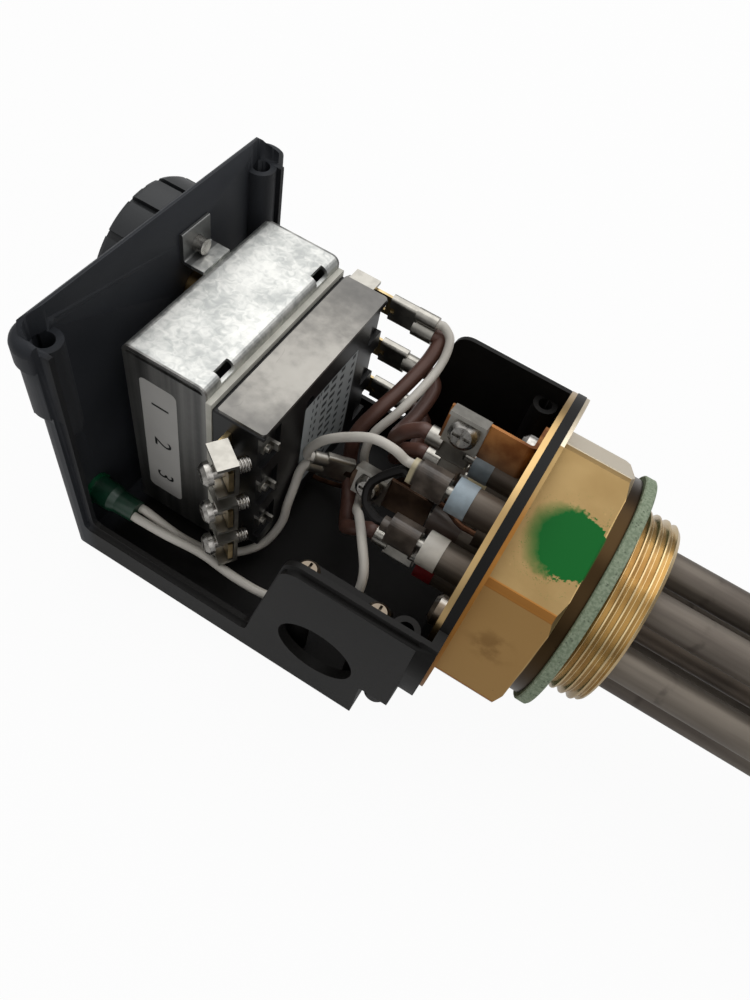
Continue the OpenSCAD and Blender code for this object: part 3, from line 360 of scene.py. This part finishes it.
# thread: radius falls from the crest by a flat-topped triangle wave, which climbs one pitch a turn
thread = {"crest": 23.9, "depth": 1.1, "pitch": 2.309, "flat": 0.07, "steep": 2.5, "start": 5.5,
          "startRadius": 22.4, "rise": 0.7, "end": 16.0, "endRadius": 22.9, "chamfer": 1.2,
          "around": 240, "rows": 220,
          "pastStart": 0.1, "pastEnd": 0.05}  # how far a face of the plain cylinder lies past these two
own = thread
angle = around(own["around"])
along = np.linspace(own["start"], own["end"], own["rows"])[:, None]
phase = (along / own["pitch"] - angle / (2 * np.pi)) % 1.0
tooth = np.clip((np.abs(phase - 0.5) - own["flat"]) * own["steep"], 0, 1)
runIn = own["startRadius"] + (along - own["start"]) * (own["crest"] - own["startRadius"]) / own["rise"]
runOut = own["endRadius"] + (own["end"] - along) * (own["crest"] - own["endRadius"]) / own["chamfer"]
radius = np.minimum(own["crest"] - own["depth"] * tooth, np.minimum(runIn, runOut))
radius[0], radius[-1] = own["startRadius"], own["endRadius"]
turns = np.stack([along + 0 * angle, radius * np.cos(angle), radius * np.sin(angle)], -1) * mm

# the plug keeps its solid's faces except the plain cylinder, which the thread takes the place of
solid = nodes["plug_body"].data
co = np.empty(len(solid.vertices) * 3)
solid.vertices.foreach_get("co", co)
co = co.reshape(-1, 3)
corners = np.empty(len(solid.loops), int)
solid.loops.foreach_get("vertex_index", corners)
corners = corners.reshape(-1, 3)
out = np.hypot(co[:, 1], co[:, 2]) / mm
far = co[corners][:, :, 0].max(1) / mm
wide = out[corners].max(1)
shank = (far > own["start"] + own["pastStart"]) & (wide > own["endRadius"] + own["pastEnd"])
kept = solid.copy()
kept.name = "plug_body_faces"
cut = bmesh.new()
cut.from_mesh(kept)
cut.faces.ensure_lookup_table()
bmesh.ops.delete(cut, geom=[cut.faces[i] for i in np.flatnonzero(shank)], context="FACES")
cut.to_mesh(kept)
cut.free()
plug = addPiece("plug_brass", kept, "heater")
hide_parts("plug_body")
screwThread = addPiece("plug_thread", tube("plug_thread", turns), "heater")
print("thread is cut; faces taken off:", int(shank.sum()))

# screw ends of the near terminals: rings of a triangle wave round each screw's axis
screwEnds = {"x": -78.0, "y": -29.65, "poles": (13.0, -2.8, -18.6), "turn": 55, "from": 2.6, "to": 6.15,
             "root": 1.72, "crest": 1.98, "pitch": 0.72, "steep": 1.4, "tip": 0.4,
             "around": 28, "rows": 60}
own = screwEnds
angle = around(own["around"])
along = np.linspace(own["from"], own["to"], own["rows"])[:, None]
wave = 1 - np.abs((along / own["pitch"] - angle / (2 * np.pi)) % 1 * 2 - 1)
ridge = np.minimum(wave * own["steep"], 1) * np.minimum((own["to"] - along) / own["tip"], 1)
radius = own["root"] + (own["crest"] - own["root"]) * ridge
way = polar(own["turn"])
side, high = radius * np.cos(angle), radius * np.sin(angle)
acrossX = own["x"] + along * way[0] - side * way[1]
acrossY = own["y"] + along * way[1] + side * way[0]
screwTips = []
for i, z in enumerate(own["poles"]):
    name = "terminal_screw_end_%d" % (i + 1)
    rings = np.stack([acrossX, acrossY, z + high], -1) * mm
    screwTips.append(addPiece(name, tube(name, rings), "heater"))
print("screw ends are cut:", len(screwTips))

# case: the solid with its upper front corners re-formed; a dome on each bulge, a recess over each boss,
# a round fall to the flange's edge, and the bulge trimmed back behind that edge
corner = {
    "bulge": (-115.5, 38.5), "radius": 5.88, "foot": 36.0, "shoulder": 36.2, "dome": 2.6, "top": 38.8,
    "inside": [(-116.48, 32), (-116.48, 34.6), (-116.85, 37.0), (-117.35, 38.7), (-117.2, 40.3),
               (-116.2, 41.3), (-114.5, 41.6)],  # the recess's edge from above
    "floor": 35.52, "fall": 4.0, "edge": -111.0, "step": -113.0, "skin": 41.22, "wall": 39.7,
    "panel": -125.0, "side": 42.51, "low": 10.0, "under": 16.7, "far": (-104.0, 47.0, 46.0),
    "steps": 5, "arc": 13, "around": 72, "merge": 1e-6,
    "level": 0.4, "crease": 28,  # degrees
    "small": 2e-6, "narrow": 0.02,  # square metres, and a share of the squared perimeter
}
own = corner
farX, farY, farZ = own["far"]


def closed(name, loops):
    # a closed solid: quads between equal loops of points, with a face on the first and on the last loop
    rows, columns = loops.shape[:2]
    mesh = tube(name, loops * mm)
    form = bmesh.new()
    form.from_mesh(mesh)
    form.verts.ensure_lookup_table()
    for first in (0, (rows - 1) * columns):
        form.faces.new([form.verts[first + i] for i in range(columns)])
    bmesh.ops.recalc_face_normals(form, faces=form.faces)
    form.to_mesh(mesh)
    form.free()
    return mesh


def prism(name, edge, axis, low, high):
    # an outline of (first, second) points, carried along the axis from low to high
    edge = np.array(edge, float)
    ends = [np.insert(edge, axis, v, 1) for v in (low, high)]
    return closed(name, np.stack(ends))


def bothSides(name, mesh):
    # a solid given for the far side, and its mirror image on the near side, as one object
    both = bmesh.new()
    both.from_mesh(mesh)
    mesh.transform(Matrix.Scale(-1, 4, (0, 1, 0)))
    mesh.flip_normals()
    both.from_mesh(mesh)
    both.to_mesh(mesh)
    both.free()
    o = bpy.data.objects.new(name, mesh)
    scene.collection.objects.link(o)
    return o


def outward(x, y):
    # a rectangle from a place out past the case
    return [(x, y), (farX, y), (farX, farY), (x, farY)]


# dome: a short cylinder, then a quarter of an ellipse turned about the bulge's axis
quarter = np.linspace(0, np.pi / 2, own["arc"])
angle = around(own["around"])
reach = own["radius"] - own["dome"] * (1 - np.cos(quarter))
rise = own["shoulder"] + (own["top"] - own["shoulder"]) * np.sin(quarter)
out = np.concatenate([[own["radius"]], reach])[:, None]
up = np.concatenate([[own["foot"]], rise])[:, None]
dome = np.stack([own["bulge"][0] + out * np.cos(angle), own["bulge"][1] + out * np.sin(angle),
                 up + 0 * angle], -1)
inside = smooth(own["inside"], own["steps"]).tolist()
recess = [(farX, inside[0][1]), *inside, (farX, inside[-1][1])]
middle = own["edge"] - own["fall"]
drop = own["top"] - own["fall"] * (1 - np.cos(quarter))
arc = np.stack([middle + own["fall"] * np.sin(quarter), drop], -1).tolist()
above = [(middle, farZ), *arc, (farX, arc[-1][1]), (farX, farZ)]
# each cut: outline, axis that it is carried along, low and high end
cuts = {
    "recess": (recess, 2, own["floor"], farZ),
    "above": (above, 1, own["wall"], farY),
    "front": (outward(own["step"], own["skin"]), 2, own["low"], farZ),
    "beyond": (outward(own["edge"], own["wall"]), 2, own["low"], farZ),
    "below": (outward(own["panel"], own["side"]), 2, own["low"], own["under"]),
}
tools = [(bothSides("dome", closed("dome", dome)), "UNION")]
tools += [(bothSides(name, prism(name, *cut)), "DIFFERENCE") for name, cut in cuts.items()]
shape = bmesh.new()
shape.from_mesh(nodes["housing"].data)
bmesh.ops.remove_doubles(shape, verts=shape.verts, dist=own["merge"])
blank = bpy.data.meshes.new("case_blank")
shape.to_mesh(blank)
shape.free()
carved = bpy.data.objects.new("case_blank", blank)
scene.collection.objects.link(carved)
for tool, operation in tools:
    step = carved.modifiers.new(tool.name, "BOOLEAN")
    step.object, step.operation, step.solver = tool, operation, "EXACT"
shell = bpy.data.meshes.new_from_object(carved.evaluated_get(bpy.context.evaluated_depsgraph_get()))
for o in [carved] + [tool for tool, operation in tools]:
    bpy.data.objects.remove(o)
# level faces are joined and shaded flat; small or narrow ones belong to curves and are shaded smooth
shape = bmesh.new()
shape.from_mesh(shell)
level = math.radians(own["level"])
bmesh.ops.dissolve_limit(shape, angle_limit=level, verts=shape.verts, edges=shape.edges)
for f in shape.faces:
    area = f.calc_area()
    f.smooth = area < own["small"] or area < own["narrow"] * f.calc_perimeter() ** 2
shape.to_mesh(shell)
shape.free()
shell.set_sharp_from_angle(angle=math.radians(own["crease"]))
case = addPiece("case_shell", shell, "heater")
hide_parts("housing")
print("case corners are formed; faces:", len(shell.polygons))

# stickers: a bar label on the block's rear face and a numbered strip on the frame's side
ratingLabel = {"x": -72.24, "low": (-5, -20), "high": (19.5, 14), "round": 0.6}
numberStrip = {"y": -22.71, "middle": (-101.4, -4.3), "half": (5.2, 22.2), "round": 1.6, "lean": -1,
               "numerals": {"1": 14.5, "2": 0, "3": -14.5}, "size": 7.2, "proud": 0.03}


def sticker(name, low, high, radius, place, arcPoints=7):
    # one flat face: quarter circles of the radius about four inset corners, put in place from (u, v)
    low, high = np.array(low, float), np.array(high, float)
    bend = np.linspace(0, np.pi / 2, arcPoints)
    arcs = []
    for k, signs in enumerate(((1, 1), (-1, 1), (-1, -1), (1, -1))):
        centre = np.where(np.array(signs) > 0, high - radius, low + radius)
        turned = bend + k * np.pi / 2
        arcs.append(centre + radius * np.stack([np.cos(turned), np.sin(turned)], -1))
    edge = np.concatenate(arcs)
    mesh = bpy.data.meshes.new(name)
    mesh.from_pydata((place(edge[:, 0], edge[:, 1]) * mm).tolist(), [], [list(range(len(edge)))])
    mesh.update()
    return addPiece(name, mesh, "heater")


def onBlock(u, v):
    return np.stack([0 * u + ratingLabel["x"], u, v], -1)


def onFrame(u, v):
    # u across the strip and v along it, which leans a little
    (x, z), lean = numberStrip["middle"], polar(numberStrip["lean"])
    return np.stack([x + u * lean[0] - v * lean[1], 0 * u + numberStrip["y"],
                     z + u * lean[1] + v * lean[0]], -1)


def numeral(text, along):
    # a numeral turned to read along the strip, just proud of it
    own = numberStrip
    curve = bpy.data.curves.new("numeral_" + text, "FONT")
    curve.body, curve.size = text, own["size"] * mm
    curve.align_x, curve.align_y = "CENTER", "CENTER"
    made = bpy.data.objects.new("numeral_" + text, curve)
    mesh = bpy.data.meshes.new_from_object(made)
    bpy.data.objects.remove(made)
    place = onFrame(0.0, along) - (0, own["proud"], 0)
    lean = Matrix.Rotation(math.radians(-own["lean"]), 4, "Y")
    upright = Matrix.Rotation(math.radians(90), 4, "X")
    sideways = Matrix.Rotation(math.radians(-90), 4, "Z")
    mesh.transform(Matrix.Translation(place * mm) @ lean @ upright @ sideways)
    return addPiece("numeral_" + text, mesh, "heater")


own = ratingLabel
label = sticker("rating_label", own["low"], own["high"], own["round"], onBlock)
own = numberStrip
low = [-v for v in own["half"]]
strip = sticker("terminal_strip", low, own["half"], own["round"], onFrame)
numerals = [numeral(text, along) for text, along in own["numerals"].items()]
print("stickers are on")

# plastics and other plain finishes
looks = {}
looks["knob_grey"] = plain("knob_plastic", linear(38, 40, 42), 0.45, mottle=0.1, scale=80, grain=0.03,
                           gloss=0.35)
looks["block_black"] = plain("block_plastic", linear(20, 20, 21), 0.35, mottle=0.2, scale=120, gloss=0.35)
looks["pressboard"] = plain("pressboard", linear(196, 194, 184), 0.75, mottle=0.1, scale=160, grain=0.05)
looks["wire_brown"] = plain("brown_covering", linear(92, 62, 52), 0.45, mottle=0.14, scale=90, grain=0.02)
looks["wire_white"] = plain("white_covering", linear(206, 201, 192), 0.5, mottle=0.06, scale=110,
                            grain=0.02)
looks["lamp_lens"] = plain("lamp_lens", linear(14, 78, 48), 0.12, coat=0.4, mottle=0.05)
looks["sleeve_green"] = plain("green_sleeve", linear(7, 48, 31), 0.4, coat=0.1, mottle=0.25, scale=200)
glazes = {"blue_grey": (128, 141, 150), "light_blue": (160, 177, 189), "white": (216, 213, 205),
          "red": (120, 18, 20), "brown": (84, 72, 64), "cream": (202, 188, 150)}
for key, colour in glazes.items():
    looks["bush_" + key] = plain("glaze_" + key, linear(*colour), 0.42, mottle=0.1, scale=300, grain=0.03)
darkLink = plain("dark_covering", linear(18, 16, 15), 0.5, mottle=0.15, scale=200, gloss=0.2)
paper = plain("strip_paper", linear(182, 180, 176), 0.55, mottle=0.04)

# plain metals
looks["plated_clip"] = plain("tin", linear(156, 153, 146), 0.33, 1.0, mottle=0.1, scale=420)
looks["terminal_brass"] = plain("stamped_brass", linear(176, 156, 116), 0.3, 1.0, mottle=0.18, scale=400)
looks["pocket"] = plain("pocket_tube", linear(88, 78, 68), 0.5, 0.6, mottle=0.2, scale=60)
looks["capillary"] = plain("capillary", linear(98, 68, 50), 0.42, 0.9, mottle=0.2, scale=200)

# case: satin black; the front panel is painted a little paler as painted light, and the walls and floor
# darker as painted shade; places here and below are in millimetres
tones = {"wall": (linear(20, 19, 18), linear(26, 25, 24)),
         "panel": (linear(44, 46, 50), linear(50, 52, 56)), "panelEnd": (-113.5, -109.5)}
skin = Surface("case_plastic", linear(20, 20, 21), 0.5, gloss=0.14)
x, y, z = skin.axes()
cloud = skin.noise(45, 4)
# painted light on the front panel, painted shade on the walls and floor, set by place
panel = 1 - x.past(*tones["panelEnd"])
skin.put("Base Color", cloud.mix(panel, cloud.blend(*tones["wall"]), cloud.blend(*tones["panel"])))
skin.put("Roughness", cloud * 0.12 + 0.44)
skin.bump(skin.noise(2600, 3), 0.05, 0.6)
looks["case_black"] = skin

# boots: dull brown sleeve, with a cream neck on the one at the upper leg
tones = {"sleeve": (linear(66, 59, 53), linear(98, 89, 81)), "neck": linear(202, 190, 158),
         "neckX": (-42.7, -42.1), "neckY": (-13.5, -12.5), "neckZ": (6, 7)}
skin = Surface("boot_sleeve", linear(82, 74, 67), 0.34)
x, y, z = skin.axes()
cloud = skin.noise(240, 3)
neck = (1 - x.past(*tones["neckX"])) * y.past(*tones["neckY"]) * z.past(*tones["neckZ"])
skin.put("Base Color", cloud.mix(neck, cloud.blend(*tones["sleeve"]), tones["neck"]))
skin.put("Roughness", cloud * 0.2 + 0.26)
looks["boot_brown"] = skin

# nickel: the two screws of the cable clamp are dull and brown
tones = {"bright": (linear(146, 143, 138), linear(180, 177, 172)), "clampBrown": linear(112, 102, 90),
         "clampY": (-29.5, -28.5), "clampX": (-67, -65)}
skin = Surface("nickel", linear(164, 161, 156), 0.28, 1.0)
x, y, z = skin.axes()
cloud = skin.noise(700, 3)
clampMask = (1 - y.past(*tones["clampY"])) * x.past(*tones["clampX"])
skin.put("Base Color", cloud.mix(clampMask, cloud.blend(*tones["bright"]), tones["clampBrown"]))
skin.put("Roughness", clampMask * 0.1 + cloud * 0.12 + 0.22)
looks["plated_screw"] = skin

# cover plate of the switch block: satin sheet, cloudy, with a few hair scratches, and painted shade that
# darkens its two ends
tones = {"sheet": (linear(108, 106, 102), linear(150, 147, 141)), "ends": linear(84, 83, 82),
         "scratch": linear(88, 85, 81), "farEnd": (16, 30), "nearEnd": (-22, -12)}
skin = Surface("cover_steel", linear(150, 147, 142), 0.42, 0.85)
x, y, z = skin.axes()
cloud = skin.noise(75, 4)
fine = skin.noise(420, 3)
# painted shade: the sheet is darker towards both ends
ends = y.past(*tones["farEnd"]).most((1 - y.past(*tones["nearEnd"])) * 0.6)
patchy = skin.noise(110, 2).ramp(0.5, 0.62)
tone = (cloud * 0.7 + fine * 0.3).blend(*tones["sheet"], 0.36, 0.64)
tone = cloud.mix(ends * 0.7, tone, tones["ends"])
skin.put("Base Color", cloud.mix(skin.scratches(38, 0.005) * patchy * 0.4, tone, tones["scratch"]))
skin.put("Roughness", fine * 0.2 + 0.32)
looks["cover_steel"] = skin

# fibre washer: olive faces, painted darker than the rim as painted shade, and a paler rim, both full of
# small dark pits
tones = {"face": (linear(84, 99, 74), linear(108, 122, 94)),
         "rim": (linear(122, 136, 112), linear(150, 162, 138)),
         "pit": linear(58, 68, 52), "rimStart": (29.95, 30.2)}
skin = Surface("fibre", linear(140, 156, 130), 0.85)
x, y, z = skin.axes()
fleck = skin.noise(1500, 3)
pits = 1 - skin.cells(1100).ramp(0.1, 0.32)
rim = (y * y + z * z).root().past(*tones["rimStart"])
# painted shade: the faces take a darker tone than the rim
tone = fleck.mix(rim, fleck.blend(*tones["face"]), fleck.blend(*tones["rim"]))
skin.put("Base Color", fleck.mix(pits * skin.noise(420, 2).ramp(0.4, 0.6) * 0.75, tone, tones["pit"]))
skin.bump(fleck - pits * 0.6, 0.12, 0.8)
looks["fibre_washer"] = skin

# heating tube: grey-brown annealed sheath, drawn streaks and one faint roller mark round each leg
tones = {"sheath": (linear(84, 76, 69), linear(116, 108, 98)), "mark": linear(56, 48, 42),
         "markAt": 29, "markWidth": (0.3, 1.3), "markWander": 4}
skin = Surface("tube_sheath", linear(98, 90, 82), 0.5, 0.55)
x, y, z = skin.axes()
cloud = skin.noise(70, 4, (0.3, 1, 1))
streak = skin.noise(900, 2, (0.04, 1, 1))
wander = (skin.noise(160, 2) - 0.5) * (tones["markWander"] * mm)
mark = 1 - (x - tones["markAt"] * mm + wander).absolute().past(*tones["markWidth"])
tone = (cloud * 0.75 + streak * 0.25).blend(*tones["sheath"], 0.34, 0.66)
skin.put("Base Color", cloud.mix(mark * skin.noise(320, 3).ramp(0.35, 0.65) * 0.5, tone, tones["mark"]))
skin.put("Roughness", streak * 0.16 + 0.42)
skin.bump(skin.noise(1400, 2, (0.12, 1, 1)), 0.03, 0.5)
looks["sheath"] = skin

# galvanised sheet: worm-like pale marks on grey; the two side walls are painted darker as painted shade,
# with upright drawn streaks; plain tab
tones = {"sheet": (linear(154, 156, 154), linear(206, 206, 202)),
         "wall": (linear(88, 88, 87), linear(142, 141, 138)), "tab": linear(118, 119, 118),
         "middle": 4.85, "wallStart": (26.8, 27.1), "tabEnd": (-113.6, -113.2)}
skin = Surface("galvanised", linear(186, 187, 184), 0.42, 0.9)
x, y, z = skin.axes()
worm = skin.noise(520, 5, distortion=0.9)
patch = skin.noise(95, 3)
drawn = skin.noise(260, 3, (1, 1, 0.03))
wall = (y - tones["middle"] * mm).absolute().past(*tones["wallStart"])
tone = (worm * 0.5 + patch * 0.5).blend(*tones["sheet"], 0.34, 0.66)
# painted shade: the side walls take a darker tone
tone = worm.mix(wall, tone, drawn.blend(*tones["wall"], 0.3, 0.7))
skin.put("Base Color", worm.mix(1 - x.past(*tones["tabEnd"]), tone, tones["tab"]))
skin.put("Roughness", worm * 0.24 + 0.3)
skin.bump(worm, 0.03, 0.4)
looks["galvanised"] = skin

# copper strip: brown; the star strap, which lies on the near side of the axis, is painted darker as
# painted shade
tones = {"starShade": (linear(78, 62, 52), linear(108, 88, 72)),
         "warm": (linear(142, 86, 46), linear(196, 134, 78)), "between": (4, 8)}
skin = Surface("copper", linear(150, 92, 60), 0.36, 0.95)
x, y, z = skin.axes()
tarnish = skin.noise(150, 4)
# painted shade: the star strap takes a darker tone
tone = tarnish.mix(y.past(*tones["between"]), tarnish.blend(*tones["starShade"]), tarnish.blend(*tones["warm"]))
skin.put("Base Color", tone)
skin.put("Roughness", tarnish * 0.25 + 0.26)
looks["copper"] = skin

# brass: satin, with dark specks; the plug also has a paler thread with painted shade in its roots, dull
# hexagon faces with a painted reflection on the far one and painted shade on the lower near one, painted
# shade on the hexagon's near corners and in the collar, a stain and a sprayed patch of green paint, ragged
# on its right and soft on its left
brassTones = {"satin": (linear(170, 141, 95), linear(190, 161, 113)), "speck": linear(84, 58, 28),
              "shank": (5.8, 6.2), "cloud": (0.35, 0.68)}
plugTones = {
    # root, nearFace, edge and collar are painted shade; farFace is a painted reflection
    "root": linear(126, 86, 44), "rootDepth": (22.6, 23.8), "shank": linear(208, 186, 144),
    "shade": linear(112, 72, 42),
    "hexagon": (linear(129, 106, 69), linear(144, 121, 82)), "hexagonX": (-17.6, -17.2, -0.3, 0.1),
    "farFace": linear(204, 192, 170), "nearFace": linear(160, 126, 77), "faceOut": (29.8, 29.9),
    "faceTurns": (48.5, 168.5),
    "edge": linear(150, 98, 42), "edgeOut": (33.95, 34.05), "edgeY": (-20, -10),
    "collar": linear(40, 27, 15), "collarX": (0.1, 0.4), "collarOut": (27.5, 28.5),
    "stain": linear(112, 80, 42), "stainAt": (-8.5, -29.3, 6.2), "stainRadius": 4.2, "stainWander": 2.2,
    "stainEdge": (-2.5, 3.0),
}
paint = {"middle": (-5.6, -11.6, 27.7), "radius": 7.9, "soft": 3.4, "hard": 0.3, "ragged": 3.6,
         "right": (-13, -4), "reach": 1.75, "end": (0.2, 0.6), "colour": linear(0, 104, 36)}


def brass(name):
    skin = Surface(name, linear(184, 152, 102), 0.3, 1.0, gloss=0.15)
    x, y, z = skin.axes()
    cloud = skin.noise(60, 4)
    speck = (1 - skin.cells(380).ramp(0.03, 0.1)) * skin.noise(120, 2).ramp(0.52, 0.64)
    tone = cloud.blend(*brassTones["satin"], *brassTones["cloud"])
    tone = cloud.mix(speck * (1 - x.past(*brassTones["shank"])) * 0.8, tone, brassTones["speck"])
    rough = cloud * 0.14 + 0.24
    skin.put("Base Color", tone)
    skin.put("Roughness", rough)
    return skin, cloud, speck, tone, rough


def faceTone(cloud, y, z):
    # duller than the rest; the far face and the lower near one have a tone each, by their normals: a paler
    # painted reflection on the far face, painted shade on the lower near one
    tones = plugTones
    tone = cloud.blend(*tones["hexagon"], *brassTones["cloud"])
    for degrees, colour in zip(tones["faceTurns"], (tones["farFace"], tones["nearFace"])):
        normal = polar(degrees)
        tone = cloud.mix((y * normal[0] + z * normal[1]).past(*tones["faceOut"]), tone, colour)
    return tone


def paintMask(skin, x):
    # distance from the patch's middle, made to wander by noise, against its radius; drops lie round it
    own = paint
    away = skin.away(own["middle"])
    right = x.past(*own["right"])
    wander = (skin.noise(1000, 4) - 0.5) * (right * 0.8 + 0.2) + (skin.noise(150, 2) - 0.5)
    soft = own["soft"] * mm * (1 - right) + own["hard"] * mm
    ragged = away + wander * (own["ragged"] * mm)
    patch = ((own["radius"] * mm + soft * 0.5 - ragged) / soft).least(1).most(0)
    near = 1 - away.past(own["radius"], own["radius"] * own["reach"])
    drops = (1 - skin.cells(2500).ramp(0.12, 0.34)) * near * skin.noise(500, 2).ramp(0.45, 0.6)
    return patch.most(drops * 0.9) * (1 - x.past(*own["end"]))


def brassOfPlug():
    tones = plugTones
    skin, cloud, speck, tone, rough = brass("plug_brass")
    x, y, z = skin.axes()
    out = (y * y + z * z).root()
    shank = x.past(*brassTones["shank"])
    # painted shade in the thread's roots
    tone = cloud.mix((1 - out.past(*tones["rootDepth"])) * shank * 0.15, tone, tones["root"])
    tone = cloud.mix(shank * 0.75, tone, tones["shank"])
    tone = cloud.mix(shank * skin.noise(95, 3).ramp(0.44, 0.6) * 0.25, tone, tones["shade"])
    face = (1 - x.past(*tones["hexagonX"][2:])) * x.past(*tones["hexagonX"][:2])
    tone = cloud.mix(face * (1 - speck), tone, faceTone(cloud, y, z))
    # painted shade on the hexagon's corners on the near side
    edge = out.past(*tones["edgeOut"]) * (1 - y.past(*tones["edgeY"]))
    tone = cloud.mix(edge * 0.8, tone, tones["edge"])
    # painted shade in the collar between the hexagon and the washer
    collar = x.past(*tones["collarX"]) * out.past(*tones["collarOut"])
    tone = cloud.mix(collar * 0.95, tone, tones["collar"])
    wander = (skin.noise(300, 3) - 0.5) * (tones["stainWander"] * mm)
    ring = skin.away(tones["stainAt"]) - tones["stainRadius"] * mm + wander
    stain = (1 - ring.past(*tones["stainEdge"])) * skin.noise(230, 4).ramp(0.38, 0.62) * 0.6
    tone = cloud.mix(stain, tone, tones["stain"])
    mask = paintMask(skin, x)
    skin.put("Base Color", cloud.mix(mask, tone, paint["colour"]))
    skin.put("Roughness", (rough - shank * 0.08 + face * 0.12) * (1 - mask) + mask * 0.5)
    skin.put("Metallic", 1 - mask)
    skin.bump(mask + skin.noise(500, 2) * 0.08, 0.06, 0.5)
    return skin


looks["brass"] = brass("brass")[0]
plugBrass = brassOfPlug()

# bar label: rows of plain dark bars, a noise cut into lengths on each row
tones = {"paper": linear(170, 176, 178), "ink": linear(52, 55, 60), "rowsPerMetre": 330}
barLabel = Surface("bar_label", tones["paper"], 0.5)
x, y, z = barLabel.axes()
row = (z * tones["rowsPerMetre"]).fraction()
bars = (1 - row.ramp(0.42, 0.5)) * barLabel.noise(520, 1, (1, 1, 0.02)).ramp(0.44, 0.5)
barLabel.put("Base Color", row.mix(bars, tones["paper"], tones["ink"]))

for part in frame["record"]["subparts"]:
    mesh = nodes[part["node"]].data
    mesh.materials.clear()
    mesh.materials.append(looks[part["material_slot"]].material)
nodes["star_link_2"].data.materials[0] = darkLink.material
for name, o in covering.items():
    o.data.materials.append(looks["wire_brown" if name.startswith("phase") else "wire_white"].material)
dressed = [(plug, plugBrass), (screwThread, plugBrass), (label, barLabel), (strip, paper)]
dressed += [(case, looks["case_black"])]
dressed += [(o, looks["plated_screw"]) for o in screwTips]
dressed += [(o, looks["block_black"]) for o in numerals]
for o, look in dressed:
    o.data.materials.clear()
    o.data.materials.append(look.material)
print("materials:", len(looks))

# floor, light and world, in metres
room = {"floor": -0.0427, "reach": 3.0, "shown": 0.95, "shine": 0.3, "sky": 0.32, "high": 0.95, "low": 0.3,
        "fade": (0.0, 0.75), "aim": (-0.04, 0, 0)}
lamps = {"key": {"place": (-0.12, 0.45, 0.9), "size": 1.2, "power": 7.0},
         "fill": {"place": (0.5, -0.6, 0.6), "size": 0.9, "power": 1.1}}
floorMesh = bpy.data.meshes.new("floor")
floorCorners = ((-1, -1), (1, -1), (1, 1), (-1, 1))
spread = [(a * room["reach"], b * room["reach"], room["floor"]) for a, b in floorCorners]
floorMesh.from_pydata(spread, [], [(0, 1, 2, 3)])
floor = bpy.data.objects.new("floor", floorMesh)
scene.collection.objects.link(floor)
# the camera sees the floor as almost white, and metal sees it dim
pale = Surface("floor_pale", (0.8, 0.8, 0.8), 0.9)
tree = pale.material.node_tree
direct = output(tree, "LightPath", "Is Camera Ray")
glossy = output(tree, "LightPath", "Is Glossy Ray")
seen = (direct * room["shown"]).most(glossy * room["shine"])
glow = pale.place.node("Emission", {}, {"Color": (1.0, 1.0, 1.0), "Strength": 1.0})
shown = pale.place.node("MixShader", {}, {0: seen, 1: Value(tree, pale.shader.outputs[0]), 2: glow})
pale.place.feed(tree.nodes["Material Output"].inputs["Surface"], shown)
floorMesh.materials.append(pale.material)

world = bpy.data.worlds.new("world")
scene.world = world
world.use_nodes = True
tree = world.node_tree
back = tree.nodes["Background"]
back.inputs["Color"].default_value = (1, 1, 1, 1)
direct = output(tree, "LightPath", "Is Camera Ray")
glossy = output(tree, "LightPath", "Is Glossy Ray")
through = output(tree, "LightPath", "Is Transmission Ray")
# rays that metal sends out see a bright sky that falls off towards the horizon
way = output(tree, "TexCoord", "Generated")
height = way.node("SeparateXYZ", {}, {0: way}, 2).ramp(*room["fade"])
reflected = height * (room["high"] - room["low"]) + room["low"]
lit = direct.most(through)
level = lit + (1 - lit) * (glossy * reflected + (1 - glossy) * room["sky"])
level.feed(back.inputs["Strength"], level)

for name, lamp in lamps.items():
    light = bpy.data.lights.new(name, "AREA")
    light.shape, light.size, light.energy = "SQUARE", lamp["size"], lamp["power"]
    o = bpy.data.objects.new(name, light)
    o.location = lamp["place"]
    o.rotation_euler = (Vector(room["aim"]) - o.location).to_track_quat("-Z", "Y").to_euler()
    scene.collection.objects.link(o)
print("room is lit")
